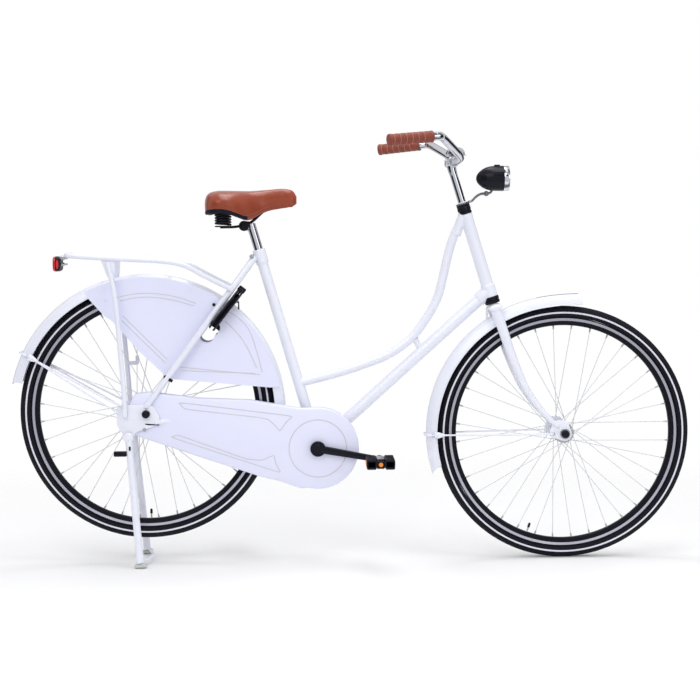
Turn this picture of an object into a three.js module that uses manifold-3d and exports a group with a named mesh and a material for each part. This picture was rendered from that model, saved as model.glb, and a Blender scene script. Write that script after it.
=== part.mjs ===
// Dutch city bike standing on its two legged stand, in millimetres, +Z up, +X forward.
import * as THREE from 'three';
import { mergeVertices } from 'three/addons/utils/BufferGeometryUtils.js';
import Module from 'manifold-3d';

// Clearances and overruns
const GAP = 0.35;
const RUNNING_GAP = 0.8;
const OVERRUN = 5;
const FACET_TOLERANCE = 0.1;

// Wheels
const WHEEL_BASE = 1149;
const REAR_LIFT = 67;
const TYRE_RADIUS = 351;
const TYRE_WIDTH = 40;
const TYRE_HEIGHT = 38;
const TYRE_WALL = 4;
const RIM_DEPTH = 20;
const RIM_WIDTH = 24;
const RIM_WALL = 2.5;
const RIM_LIP = 7;
const SPOKE_THICKNESS = 2;
const SPOKE_RING_WIDTH = 7;
const SPOKE_RING_WALL = 4;
const SPOKE_COUNT = 36;
const WHEEL_SIDES = 36;
const HUB_RADIUS = 13;
const HUB_FLANGE_RADIUS = 28;
const HUB_FLANGE_WIDTH = 3;
const FRONT_HUB_FLANGE_OFFSET = 30;
const FRONT_HUB_LENGTH = 92;
const REAR_HUB_RADIUS = 24;
const REAR_HUB_FLANGE_RADIUS = 36;
const REAR_HUB_FLANGE_OFFSET = 23;
const REAR_HUB_LENGTH_LEFT = 48;
const REAR_HUB_LENGTH_RIGHT = 28;
const AXLE_RADIUS = 5;
const AXLE_NUT_RADIUS = 10;
const AXLE_NUT_HEIGHT = 9;

// Steering head and fork
const HEAD_ANGLE = 17;
const FORK_RAKE = 80;
const FORK_LENGTH = 418.7;
const HEAD_TUBE_LENGTH = 239.5;
const HEAD_TUBE_RADIUS = 17;
const HEAD_TUBE_BORE = 15;
const STEERER_RADIUS = 12.9;
const STEERER_RISE = 34;
const LOWER_HEADSET_HEIGHT = 19;
const LOWER_HEADSET_RADIUS = 21;
const UPPER_HEADSET_HEIGHT = 27;
const UPPER_HEADSET_RADIUS = 18.5;
const FORK_CROWN_HEIGHT = 20;
const FORK_CROWN_DEPTH = 40;
const FORK_CROWN_HALF_WIDTH = 52;
const FORK_BLADE_TOP_OFFSET = 41;
const FORK_BLADE_END_OFFSET = 50;
const FORK_BLADE_DEPTH = 30;
const FORK_BLADE_WIDTH = 20;
const FORK_BLADE_TIP = 14;
const FORK_END_THICKNESS = 5;
const FORK_END_RADIUS = 20;
const FORK_END_TAIL = 42;

// Frame tubes
const CRANK_AHEAD = 468;
const CRANK_BELOW = 100;
const SEAT_ANGLE = 16.24;
const SEAT_TUBE_LENGTH = 568;
const SEAT_TUBE_RADIUS = 14.3;
const SEAT_COLLAR_RADIUS = 17.5;
const SEAT_COLLAR_HEIGHT = 38;
const SEAT_BOLT_RADIUS = 7;
const TOP_TUBE_RADIUS = 12;
const TOP_TUBE_DROP = 22;
const TOP_TUBE_JOIN = 183;
const TOP_TUBE_BOW = 125;
const DOWN_TUBE_RADIUS = 16;
const DOWN_TUBE_RISE = 18;
const LUG_LENGTH = 34;
const LUG_WALL = 2.5;
const BRACE_RADIUS = 8;
const BRACE_PLACE = 250;
const BRACKET_SHELL_RADIUS = 21;
const BRACKET_SHELL_WIDTH = 68;
const CHAIN_STAY_RADIUS = 9;
const CHAIN_STAY_TIP = 6.5;
const CHAIN_STAY_OFFSET = 31;
const CHAIN_STAY_STRAIGHT = 110;
const SEAT_STAY_RADIUS = 9;
const SEAT_STAY_TIP = 7.5;
const SEAT_STAY_TOP_OFFSET = 23;
const SEAT_STAY_BULGE_OFFSET = 47;
const SEAT_STAY_MIDDLE_OFFSET = 56;
const STAY_BRIDGE_RADIUS = 6;
const STAY_MIDDLE_SHARE = 0.6;
const DROPOUT_OFFSET = 61;
const DROPOUT_THICKNESS = 5.5;
const DROPOUT_LENGTH = 118;
const DROPOUT_HEIGHT = 75;
const DROPOUT_BACK = 80;

// Chain drive
const CHAIN_LINE = 44;
const CHAINRING_TEETH = 44;
const SPROCKET_TEETH = 19;
const CHAIN_PITCH = 12.7;
const TOOTH_HEIGHT = 3.6;
const TOOTHED_THICKNESS = 2.4;
const CHAIN_WIDTH = 8;
const CHAIN_DEPTH = 8;
const CHAIN_WALL = 1.6;
const CRANK_AXLE_RADIUS = 8.5;
const CRANK_LENGTH = 170;
const CRANK_TILT = 10;
const CRANK_OFFSET = 66;
const CRANK_THICKNESS = 13;
const CRANK_BOSS_RADIUS = 21;
const CRANK_EYE_RADIUS = 12;
const CRANK_WIDTH = 22;
const CRANK_ARM_OFFSET_GROWTH = 10;
const PEDAL_SPINDLE_RADIUS = 5;
const PEDAL_LENGTH = 96;
const PEDAL_WIDTH = 76;
const PEDAL_HEIGHT = 26;
const PEDAL_BLOCK_WIDTH = 26;
const CASE_INNER_FACE = 31;
const CASE_OUTER_FACE = 57;
const CASE_WALL = 1.5;
const CASE_RADIUS = 113;
const CASE_CRANK_HOLE = 12;
const CASE_AXLE_HOLE = 14;
const CASE_HUB_HOLE = 20;
const BRAKE_ARM_LENGTH = 150;
const BRAKE_ARM_WIDTH = 16;
const BRAKE_ARM_THICKNESS = 3;

// Mudguards and their wires
const MUDGUARD_START = -7;
const REAR_MUDGUARD_END = 168;
const FRONT_MUDGUARD_START = 84;
const FRONT_MUDGUARD_END = 196;
const MUDGUARD_CLEARANCE = 29;
const MUDGUARD_RADIUS = TYRE_RADIUS + MUDGUARD_CLEARANCE;
const MUDGUARD_WIDTH = 60;
const MUDGUARD_DEPTH = 28;
const MUDGUARD_WALL = 1.6;
const WIRE_RADIUS = 2.2;

// Coat guards
const COAT_GUARD_OFFSET = 36;
const COAT_GUARD_WALL = 1.5;
const COAT_GUARD_INSET = 8;
const COAT_GUARD_RADIUS = MUDGUARD_RADIUS - COAT_GUARD_INSET;
const COAT_GUARD_HOLE_RADIUS = 22;
const COAT_GUARD_BOLT_RADIUS = 5;

// Rear carrier and lamp
const RACK_WIDTH = 132;
const RACK_HEIGHT = 433;
const RACK_LENGTH = 307;
const RACK_REAR = 215;
const RACK_SLOPE = 20;
const RACK_RAIL_RADIUS = 7;
const RACK_BAR_RADIUS = 4.5;
const RACK_LEG_RADIUS = 5.2;
const RACK_FOOT_BACK = 57;
const RACK_FOOT_CLEARANCE = 33.3;
const RACK_PLATE_LENGTH = 40;
const RACK_PLATE_HEIGHT = 52;
const RACK_PLATE_WALL = 3;
const LAMP_WIDTH = 92;
const LAMP_HEIGHT = 47;
const LAMP_DEPTH = 25;
const LAMP_BRACKET_DEPTH = 17;
const LAMP_BRACKET_WIDTH = 60;
const LAMP_BRACKET_HEIGHT = 14;

// Ring lock
const LOCK_ANGLE = 52;
const LOCK_PLACE = 345;
const LOCK_INNER_RADIUS = 53;
const LOCK_BAND_WIDTH = 25;
const LOCK_OUTER_RADIUS = LOCK_INNER_RADIUS + LOCK_BAND_WIDTH;
const LOCK_THICKNESS = 19;
const LOCK_HALF_ARC = 134;
const SHACKLE_RADIUS = 4;
const SHACKLE_KNOB_RADIUS = 3;
const SHACKLE_KNOB_REACH = 15;
const LOCK_CASE_WIDTH = 46;
const LOCK_CASE_HEIGHT = 22;

// Stand
const STAND_PIVOT_BACK = 48;
const STAND_PIVOT_BELOW = 63;
const STAND_LEG_RADIUS = 9;
const STAND_TOP_OFFSET = 76;
const STAND_FOOT_OFFSET = 103;
const STAND_FOOT_AHEAD = 30;
const STAND_FOOT_LENGTH = 40;
const STAND_FOOT_HEIGHT = 12;
const STAND_LINK_RADIUS = 5;
const STAND_LINK_RISE = 18;
const STAND_LINK_BOW = 26;
const STAND_PIN_RADIUS = 6;
const KICK_LEVER_LENGTH = 32;
const KICK_LEVER_HEIGHT = 16;
const KICK_LEVER_DROP = 40;

// Handlebar, stem, bell and head lamp
const QUILL_RADIUS = 11;
const QUILL_DEPTH = 60;
const CLAMP_RISE = 805;
const CLAMP_AHEAD = 9;
const CLAMP_RADIUS = 16;
const CLAMP_WIDTH = 44;
const BAR_RADIUS = 11;
const BAR_HALF_WIDTH = 274;
const BAR_SWEEP = 192;
const BAR_RISE = 60;
const GRIP_RADIUS = 16;
const GRIP_LENGTH = 126;
const BELL_RADIUS = 27;
const BELL_HEIGHT = 20;
const BELL_PLACE = 88;
const BELL_POST_RADIUS = 5;
const BELL_LEVER_LENGTH = 26;
const BELL_LEVER_WIDTH = 8;
const BELL_LEVER_THICKNESS = 3;
const HEADLIGHT_RADIUS = 37;
const HEADLIGHT_LENGTH = 91;
const HEADLIGHT_AHEAD = 29;
const HEADLIGHT_RISE = 97;
const HEADLIGHT_BRACKET_WIDTH = 22;
const HEADLIGHT_BRACKET_WALL = 4;

// Saddle and post
const POST_RADIUS = 12.5;
const POST_DEPTH = 120;
const POST_REACH = 73;
const SEAT_CLAMP_BACK = 19;
const SEAT_CLAMP_RADIUS = 14;
const SEAT_CLAMP_WIDTH = 52;
const SADDLE_LENGTH = 250;
const SADDLE_WIDTH = 205;
const SADDLE_BACK = 144;
const SADDLE_HEIGHT = 83;
const SADDLE_RISE = 82;
const SADDLE_DISH = 22;
const RAIL_RADIUS = 3.5;
const RAIL_RISE = 49;
const SPRING_RADIUS = 20;
const SPRING_WIRE = 5;
const SPRING_TURNS = 4;
const SPRING_HEIGHT = 34;
const SPRING_SPREAD = 62;
const SPRING_BACK = 48;
const SPRING_PLATE_WALL = 4;

const WELD = 0.0005;
const wasm = await Module();
wasm.setup();

const point = (x, y, z) => new THREE.Vector3(x, y, z);
const radians = THREE.MathUtils.degToRad;
const along = (from, to, share) => from.clone().lerp(to, share);
const moved = (from, direction, distance) => from.clone().addScaledVector(direction, distance);
const AXLE_DIRECTION = point(0, 1, 0);
const UP = point(0, 0, 1);
const FORWARD = point(1, 0, 0);

// Volume with its sign, so that faces can be turned to point out
function signedVolume(positions, index) {
  const a = point(0, 0, 0);
  const b = point(0, 0, 0);
  const c = point(0, 0, 0);
  let volume = 0;
  for (let i = 0; i < index.length; i += 3) {
    a.fromArray(positions, index[i] * 3);
    b.fromArray(positions, index[i + 1] * 3);
    c.fromArray(positions, index[i + 2] * 3);
    volume += a.dot(b.cross(c));
  }
  return volume;
}

// Any closed geometry as a manifold solid
function toSolid(source) {
  const bare = source.clone();
  bare.deleteAttribute('normal');
  bare.deleteAttribute('uv');
  const merged = mergeVertices(bare, WELD);
  const positions = new Float32Array(merged.attributes.position.array);
  const kept = [];
  const index = merged.index.array;
  for (let i = 0; i < index.length; i += 3) {
    const corners = [index[i], index[i + 1], index[i + 2]];
    if (new Set(corners).size === 3) kept.push(...corners);
  }
  if (signedVolume(positions, kept) < 0) kept.reverse();
  const mesh = new wasm.Mesh({
    numProp: 3,
    vertProperties: positions,
    triVerts: new Uint32Array(kept),
  });
  return new wasm.Manifold(mesh);
}

function toGeometry(solid) {
  const mesh = solid.getMesh();
  const geometry = new THREE.BufferGeometry();
  geometry.setAttribute('position', new THREE.BufferAttribute(mesh.vertProperties, 3));
  geometry.setIndex(new THREE.BufferAttribute(mesh.triVerts, 1));
  geometry.computeVertexNormals();
  return geometry;
}

function join(...solids) {
  return solids.reduce((whole, piece) => whole.add(piece));
}

function cut(solid, ...tools) {
  return tools.reduce((rest, tool) => rest.subtract(tool), solid);
}

// Places a geometry whose own axis is Y along a direction
function orientAlong(geometry, origin, direction) {
  const turn = new THREE.Quaternion();
  turn.setFromUnitVectors(AXLE_DIRECTION, direction.clone().normalize());
  const matrix = new THREE.Matrix4().makeRotationFromQuaternion(turn);
  matrix.setPosition(origin);
  return geometry.applyMatrix4(matrix);
}

// Straight round bar between two points
function rod(from, to, radius, sides = 8, endRadius = radius) {
  const length = from.distanceTo(to);
  const geometry = new THREE.CylinderGeometry(endRadius, radius, length, sides);
  return toSolid(orientAlong(geometry, along(from, to, 1 / 2), to.clone().sub(from)));
}

// Turned shape from pairs of radius and height along an axis
function turned(profile, origin, direction, sides = 14) {
  const points = profile.map(([radius, height]) => new THREE.Vector2(radius, height));
  points.push(points[0].clone());
  return toSolid(orientAlong(new THREE.LatheGeometry(points, sides), origin, direction));
}

// Ring of square section about an axis, from one height to another
function ring(inner, outer, low, high, origin, direction, sides = 14) {
  return turned([[inner, low], [outer, low], [outer, high], [inner, high]], origin, direction, sides);
}

// Flat plate from an outline of points seen from the side
function plate(outline, from, to, holes = []) {
  const shape = new THREE.Shape(outline.map((p) => new THREE.Vector2(p.x, p.z)));
  holes.forEach((hole) => {
    shape.holes.push(new THREE.Path(hole.map((p) => new THREE.Vector2(p.x, p.z))));
  });
  const geometry = new THREE.ExtrudeGeometry(shape, { depth: Math.abs(to - from), bevelEnabled: false });
  const matrix = new THREE.Matrix4().makeBasis(FORWARD, UP, AXLE_DIRECTION);
  matrix.setPosition(point(0, Math.min(from, to), 0));
  return toSolid(geometry.applyMatrix4(matrix));
}

function block(centre, length, width, height) {
  return toSolid(new THREE.BoxGeometry(length, width, height).translate(centre.x, centre.y, centre.z));
}

// Round points of a circle seen from the side
function circlePoints(centre, radius, sides, start = 0, sweep = 2 * Math.PI) {
  const closed = sweep >= 2 * Math.PI;
  const count = closed ? sides : sides + 1;
  return Array.from({ length: count }, (unused, i) => {
    const angle = start + (sweep * i) / sides;
    return point(centre.x + radius * Math.cos(angle), centre.y, centre.z + radius * Math.sin(angle));
  });
}

// Round bar along a smooth curve
function tube(points, radius, steps, sides = 8) {
  const curve = new THREE.CatmullRomCurve3(points, false, 'centripetal');
  const outline = Array.from({ length: sides }, (unused, i) => {
    const angle = (2 * Math.PI * i) / sides;
    return new THREE.Vector2(radius * Math.cos(angle), radius * Math.sin(angle));
  });
  const shape = new THREE.Shape(outline);
  const options = { steps, extrudePath: curve, bevelEnabled: false };
  return toSolid(new THREE.ExtrudeGeometry(shape, options));
}

// Skin through rings of equal count, with flat ends unless it closes on itself
function loft(rings, closed = false, section = null) {
  const sides = rings[0].length;
  const positions = rings.flat().flatMap((p) => [p.x, p.y, p.z]);
  const index = [];
  const spans = closed ? rings.length : rings.length - 1;
  for (let i = 0; i < spans; i += 1) {
    const here = i * sides;
    const next = ((i + 1) % rings.length) * sides;
    for (let j = 0; j < sides; j += 1) {
      const k = (j + 1) % sides;
      index.push(here + j, here + k, next + k);
      index.push(here + j, next + k, next + j);
    }
  }
  if (!closed) {
    const last = (rings.length - 1) * sides;
    const outline = section ?? Array.from({ length: sides }, (unused, i) => {
      const angle = (2 * Math.PI * i) / sides;
      return [Math.cos(angle), Math.sin(angle)];
    });
    const flat = outline.map(([a, b]) => new THREE.Vector2(a, b));
    const turn = Math.sign(THREE.ShapeUtils.area(flat));
    THREE.ShapeUtils.triangulateShape(flat, []).forEach(([a, b, c]) => {
      const own = Math.sign(THREE.ShapeUtils.area([flat[a], flat[b], flat[c]]));
      const [p, q, r] = own === turn ? [a, b, c] : [c, b, a];
      index.push(r, q, p);
      index.push(last + p, last + q, last + r);
    });
  }
  const geometry = new THREE.BufferGeometry();
  geometry.setAttribute('position', new THREE.Float32BufferAttribute(positions, 3));
  geometry.setIndex(index);
  return toSolid(geometry);
}

// Oval bar whose depth and width change along a smooth curve
function taperedTube(points, sizes, steps, sides = 8) {
  const curve = new THREE.CatmullRomCurve3(points, false, 'centripetal');
  const rings = Array.from({ length: steps + 1 }, (unused, i) => {
    const share = i / steps;
    const centre = curve.getPointAt(share);
    const tangent = curve.getTangentAt(share);
    const side = AXLE_DIRECTION.clone().addScaledVector(tangent, -tangent.y).normalize();
    const front = new THREE.Vector3().crossVectors(side, tangent).normalize();
    const [depth, width] = sizes(share);
    return Array.from({ length: sides }, (none, j) => {
      const angle = (2 * Math.PI * j) / sides;
      const ringPoint = moved(centre, front, (depth / 2) * Math.cos(angle));
      return moved(ringPoint, side, (width / 2) * Math.sin(angle));
    });
  });
  return loft(rings);
}

// Thin section of radius and side offset, swept about an axle
function wheelSweep(section, centre, startAngle, endAngle, steps) {
  const rings = Array.from({ length: steps + 1 }, (unused, i) => {
    const angle = radians(startAngle + ((endAngle - startAngle) * i) / steps);
    return section.map(([radius, side]) => point(
      centre.x + radius * Math.cos(angle),
      side,
      centre.z + radius * Math.sin(angle),
    ));
  });
  return loft(rings, false, section);
}

const model = new THREE.Group();
const PAINT = { color: 0xeceaf2, roughness: 0.25, metalness: 0 };
const BLACK_PLASTIC = { color: 0x17171a, roughness: 0.45, metalness: 0 };
const CHROME = { color: 0xc9ccd2, roughness: 0.15, metalness: 1 };
const STEEL = { color: 0x9a9da2, roughness: 0.35, metalness: 1 };
const TYRE_RUBBER = { color: 0x151516, roughness: 0.85, metalness: 0 };
const BLACK_METAL = { color: 0x1c1c1f, roughness: 0.4, metalness: 0.6 };
const LEATHER = { color: 0x8a4a33, roughness: 0.6, metalness: 0 };
const RED_GLASS = { color: 0xa31417, roughness: 0.2, metalness: 0 };

// One named piece of the bicycle
function piece(name, solid, look, parent = model) {
  const material = new THREE.MeshStandardMaterial({ ...look, flatShading: true });
  const mesh = new THREE.Mesh(toGeometry(solid.simplify(FACET_TOLERANCE)), material);
  mesh.name = name;
  parent.add(mesh);
  return mesh;
}

// Main points of the frame
const frontAxle = point(0, 0, TYRE_RADIUS);
const rearAxle = point(-WHEEL_BASE, 0, TYRE_RADIUS + REAR_LIFT);
const crankCentre = point(rearAxle.x + CRANK_AHEAD, 0, rearAxle.z - CRANK_BELOW);
const headLean = radians(HEAD_ANGLE);
const steerUp = point(-Math.sin(headLean), 0, Math.cos(headLean));
const steerAhead = point(Math.cos(headLean), 0, Math.sin(headLean));
const steerFoot = moved(frontAxle, steerAhead, -FORK_RAKE);
const seatLean = radians(SEAT_ANGLE);
const seatUp = point(-Math.sin(seatLean), 0, Math.cos(seatLean));
const seatAhead = point(Math.cos(seatLean), 0, Math.sin(seatLean));
const atSide = (centre, side) => point(centre.x, side, centre.z);
const steerPoint = (rise, ahead = 0, side = 0) => (
  atSide(moved(moved(steerFoot, steerUp, rise), steerAhead, ahead), side));
const seatPoint = (rise, ahead = 0, side = 0) => (
  atSide(moved(moved(crankCentre, seatUp, rise), seatAhead, ahead), side));
const roundWheel = (centre, radius, angle, side = 0) => point(
  centre.x + radius * Math.cos(radians(angle)),
  side,
  centre.z + radius * Math.sin(radians(angle)),
);
const stayLine = rearAxle.clone().sub(crankCentre);
const stayLength = stayLine.length();
const stayAlong = stayLine.clone().normalize();
const stayUp = point(stayAlong.z, 0, -stayAlong.x);
const stayPoint = (reach, rise, side = 0) => (
  atSide(moved(moved(crankCentre, stayAlong, reach), stayUp, rise), side));

const standPivot = moved(moved(rearAxle, FORWARD, -STAND_PIVOT_BACK), UP, -STAND_PIVOT_BELOW);

// Head tube with the sleeves that take the two main tubes
const headBottomRise = FORK_LENGTH;
const headTopRise = FORK_LENGTH + HEAD_TUBE_LENGTH;
const topTubeStart = steerPoint(headTopRise - TOP_TUBE_DROP);
const topTubeEnd = seatPoint(TOP_TUBE_JOIN);
const downTubeStart = steerPoint(headBottomRise + DOWN_TUBE_RISE);
const downTubeDirection = crankCentre.clone().sub(downTubeStart).normalize();
const TOP_TUBE_SHARES = [
  [0, 0], [0.045, -0.06], [0.103, 0.06], [0.186, 0.316], [0.25, 0.541], [0.326, 0.77], [0.423, 0.924],
  [0.507, 0.999], [0.579, 0.976], [0.653, 0.891], [0.718, 0.754], [0.8, 0.563], [0.88, 0.349], [1, 0],
];

function topTubeRoute() {
  const line = topTubeEnd.clone().sub(topTubeStart);
  const bowDirection = point(-line.z, 0, line.x).normalize();
  return TOP_TUBE_SHARES.map(([share, bow]) => (
    moved(along(topTubeStart, topTubeEnd, share), bowDirection, bow * TOP_TUBE_BOW)));
}

function topTubeSolid(radius) {
  return tube(topTubeRoute(), radius, 20);
}

function steererRod(radius, low, high, sides = 12) {
  return rod(steerPoint(low), steerPoint(high), radius, sides);
}

function headTube() {
  const sleeve = topTubeRoute();
  const topLug = rod(sleeve[0], moved(sleeve[0], sleeve[1].clone().sub(sleeve[0]).normalize(), LUG_LENGTH),
    TOP_TUBE_RADIUS + LUG_WALL);
  const downLug = rod(downTubeStart, moved(downTubeStart, downTubeDirection, LUG_LENGTH + LUG_WALL),
    DOWN_TUBE_RADIUS + LUG_WALL, 10);
  const body = steererRod(HEAD_TUBE_RADIUS, headBottomRise, headTopRise);
  const footTop = headBottomRise + LUG_LENGTH + LUG_WALL;
  const foot = steererRod(HEAD_TUBE_RADIUS + LUG_WALL, headBottomRise, footTop);
  const bore = steererRod(HEAD_TUBE_BORE, headBottomRise - OVERRUN, headTopRise + OVERRUN, 10);
  const below = steererRod(HEAD_TUBE_RADIUS * 3, headBottomRise - LUG_LENGTH, headBottomRise, 4);
  const above = steererRod(HEAD_TUBE_RADIUS * 3, headTopRise, headTopRise + LUG_LENGTH, 4);
  return cut(join(body, topLug, downLug, foot), bore, below, above,
    topTubeSolid(TOP_TUBE_RADIUS + GAP), downTubeRod(DOWN_TUBE_RADIUS + GAP * 2));
}

// Main tubes
const lugSeat = HEAD_TUBE_RADIUS + LUG_WALL + GAP;

function headClearance() {
  const cupFoot = headBottomRise - LOWER_HEADSET_HEIGHT - OVERRUN;
  const cup = steererRod(LOWER_HEADSET_RADIUS + RUNNING_GAP * 2, cupFoot, headBottomRise + GAP);
  return join(steererRod(lugSeat, headBottomRise - OVERRUN, headTopRise + OVERRUN), cup);
}

function downTubeRod(radius) {
  const start = moved(downTubeStart, downTubeDirection, lugSeat);
  return rod(start, crankCentre, radius, 12);
}

function seatTubeRod(radius, low, high, sides = 12) {
  return rod(seatPoint(low), seatPoint(high), radius, sides);
}

function shellRod(radius, half = BRACKET_SHELL_WIDTH / 2, sides = 16) {
  return rod(atSide(crankCentre, -half), atSide(crankCentre, half), radius, sides);
}

function topTube() {
  return cut(topTubeSolid(TOP_TUBE_RADIUS), headClearance(),
    seatTubeRod(SEAT_TUBE_RADIUS + GAP * 2, 0, SEAT_TUBE_LENGTH));
}

function downTube() {
  const route = topTubeRoute();
  const braceTop = route[7];
  const braceFoot = moved(downTubeStart, downTubeDirection, BRACE_PLACE);
  const brace = cut(rod(braceTop, braceFoot, BRACE_RADIUS), topTubeSolid(TOP_TUBE_RADIUS + GAP));
  return cut(join(downTubeRod(DOWN_TUBE_RADIUS), brace), headClearance(),
    shellRod(BRACKET_SHELL_RADIUS + GAP), seatTubeRod(SEAT_TUBE_RADIUS + GAP * 2, 0, SEAT_TUBE_LENGTH));
}

function seatTube() {
  const top = SEAT_TUBE_LENGTH;
  const bore = POST_RADIUS + GAP;
  const collarFoot = top - SEAT_COLLAR_HEIGHT;
  const tubeBody = turned([
    [0, 0], [SEAT_TUBE_RADIUS, 0], [SEAT_TUBE_RADIUS, collarFoot - LUG_WALL],
    [SEAT_COLLAR_RADIUS, collarFoot], [SEAT_COLLAR_RADIUS, top], [bore, top],
    [bore, top - POST_DEPTH * 2], [0, top - POST_DEPTH * 2],
  ], crankCentre, seatUp, 16);
  const boltPlace = -SEAT_COLLAR_RADIUS - SEAT_BOLT_RADIUS / 2;
  const boltRise = top - SEAT_COLLAR_HEIGHT / 2;
  const bolt = rod(seatPoint(boltRise, boltPlace, -SEAT_STAY_TOP_OFFSET / 2),
    seatPoint(boltRise, boltPlace, SEAT_STAY_TOP_OFFSET / 2), SEAT_BOLT_RADIUS);
  return cut(join(tubeBody, bolt), shellRod(BRACKET_SHELL_RADIUS + GAP));
}

function bracketShell() {
  const half = BRACKET_SHELL_WIDTH / 2;
  return ring(CRANK_AXLE_RADIUS + RUNNING_GAP, BRACKET_SHELL_RADIUS, -half, half,
    crankCentre, AXLE_DIRECTION, 16);
}

// Rear triangle
const seatStayStart = seatPoint(SEAT_TUBE_LENGTH - SEAT_COLLAR_HEIGHT / 2, -SEAT_COLLAR_RADIUS);
const SEAT_STAY_SHARES = [0, 0.11, 0.22, 0.5, 1];

function seatStayRoute(side) {
  const end = moved(rearAxle, UP, DROPOUT_HEIGHT / 4);
  const offsets = [
    SEAT_STAY_TOP_OFFSET, (SEAT_STAY_TOP_OFFSET + SEAT_STAY_BULGE_OFFSET) / 2 + LUG_WALL,
    SEAT_STAY_BULGE_OFFSET, SEAT_STAY_MIDDLE_OFFSET, DROPOUT_OFFSET,
  ];
  return SEAT_STAY_SHARES.map((share, i) => atSide(along(seatStayStart, end, share), side * offsets[i]));
}

function chainStayRoute(side) {
  const half = BRACKET_SHELL_WIDTH / 2 - DROPOUT_THICKNESS / 2;
  const narrow = DROPOUT_OFFSET - CHAIN_STAY_RADIUS;
  return [
    stayPoint(BRACKET_SHELL_RADIUS / 2, 0, side * CHAIN_STAY_OFFSET),
    stayPoint(CHAIN_STAY_STRAIGHT / 2, 0, side * half),
    stayPoint(CHAIN_STAY_STRAIGHT, 0, side * (half + LUG_WALL / 2)),
    stayPoint(stayLength * STAY_MIDDLE_SHARE, 0, side * (CHAIN_LINE - LUG_WALL)),
    stayPoint(stayLength - DROPOUT_LENGTH / 2, -CHAIN_STAY_RADIUS, side * narrow),
    stayPoint(stayLength - DROPOUT_LENGTH / 4, -CHAIN_STAY_RADIUS * 2, side * DROPOUT_OFFSET),
  ];
}

const chainStaySizes = (radius, growth = 0) => (share) => {
  const size = 2 * (radius - (radius - CHAIN_STAY_TIP) * share + growth);
  return [size, size];
};

function dropoutPlate(side, growth = 0) {
  const front = rearAxle.x + DROPOUT_LENGTH - DROPOUT_BACK;
  const back = rearAxle.x - DROPOUT_BACK;
  const top = rearAxle.z + DROPOUT_HEIGHT / 3;
  const bottom = top - DROPOUT_HEIGHT;
  const middle = (top + bottom) / 2;
  const corner = DROPOUT_HEIGHT / 4;
  const ear = STAND_PIN_RADIUS * 2;
  const outline = [
    point(front, 0, middle), point(front - corner / 2, 0, bottom + corner),
    point(standPivot.x + corner, 0, bottom), point(standPivot.x + ear / 2, 0, standPivot.z - ear),
    point(standPivot.x - ear / 2, 0, standPivot.z - ear), point(standPivot.x - corner, 0, bottom),
    point(back, 0, bottom + corner), point(back, 0, top - corner / 2),
    point(back + corner / 2, 0, top), point(front - corner, 0, top),
  ];
  const face = side * (DROPOUT_OFFSET + DROPOUT_THICKNESS / 2 + growth);
  return plate(outline, face, face - side * (DROPOUT_THICKNESS + 2 * growth));
}

function dropoutCuts(side) {
  const low = side * (DROPOUT_OFFSET - DROPOUT_THICKNESS * 3);
  const high = side * (DROPOUT_OFFSET + DROPOUT_THICKNESS * 3);
  const radius = AXLE_RADIUS + RUNNING_GAP;
  return [
    rod(atSide(rearAxle, low), atSide(rearAxle, high), radius),
    rod(atSide(standPivot, low), atSide(standPivot, high), STAND_PIN_RADIUS + RUNNING_GAP),
  ];
}

function seatStayRod(side, growth = 0) {
  const sizes = (share) => {
    const size = 2 * (SEAT_STAY_RADIUS + (SEAT_STAY_TIP - SEAT_STAY_RADIUS) * share + growth);
    return [size, size];
  };
  return taperedTube(seatStayRoute(side), sizes, 8);
}

// Place on the seat stays at a distance from the rear axle
function stayAtDistance(distance) {
  const low = moved(rearAxle, UP, DROPOUT_HEIGHT / 4);
  const line = seatStayStart.clone().sub(low).normalize();
  const offset = low.clone().sub(rearAxle);
  const near = offset.dot(line);
  const reach = Math.sqrt(near * near - offset.lengthSq() + distance * distance) - near;
  return moved(low, line, reach);
}

function stayBridge(growth = 0) {
  const place = stayAtDistance(MUDGUARD_RADIUS + STAY_BRIDGE_RADIUS + GAP);
  const reach = SEAT_STAY_BULGE_OFFSET;
  return rod(atSide(place, -reach), atSide(place, reach), STAY_BRIDGE_RADIUS + growth, 10);
}

function seatStay(side) {
  const collar = seatTubeRod(SEAT_COLLAR_RADIUS + GAP, 0, SEAT_TUBE_LENGTH + OVERRUN);
  const pieces = [cut(seatStayRod(side), collar)];
  if (side > 0) {
    pieces.push(cut(stayBridge(), seatStayRod(-side, GAP)));
  }
  return cut(join(...pieces), dropoutPlate(side, GAP), seatTubeBolt(GAP), axleHardware(side, GAP));
}

function seatTubeBolt(growth) {
  const boltPlace = -SEAT_COLLAR_RADIUS - SEAT_BOLT_RADIUS / 2;
  const boltRise = SEAT_TUBE_LENGTH - SEAT_COLLAR_HEIGHT / 2;
  const reach = SEAT_STAY_TOP_OFFSET / 2 + growth;
  return rod(seatPoint(boltRise, boltPlace, -reach), seatPoint(boltRise, boltPlace, reach),
    SEAT_BOLT_RADIUS + growth);
}

// Room for the axle, its nuts and the hub ends
function axleHardware(side, growth) {
  const reach = side * (DROPOUT_OFFSET + DROPOUT_THICKNESS / 2 + AXLE_NUT_HEIGHT * 2);
  return rod(atSide(rearAxle, 0), atSide(rearAxle, reach), AXLE_NUT_RADIUS + growth);
}

function chainStayRod(side, growth = 0) {
  return taperedTube(chainStayRoute(side), chainStaySizes(CHAIN_STAY_RADIUS, growth), 8);
}

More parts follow.
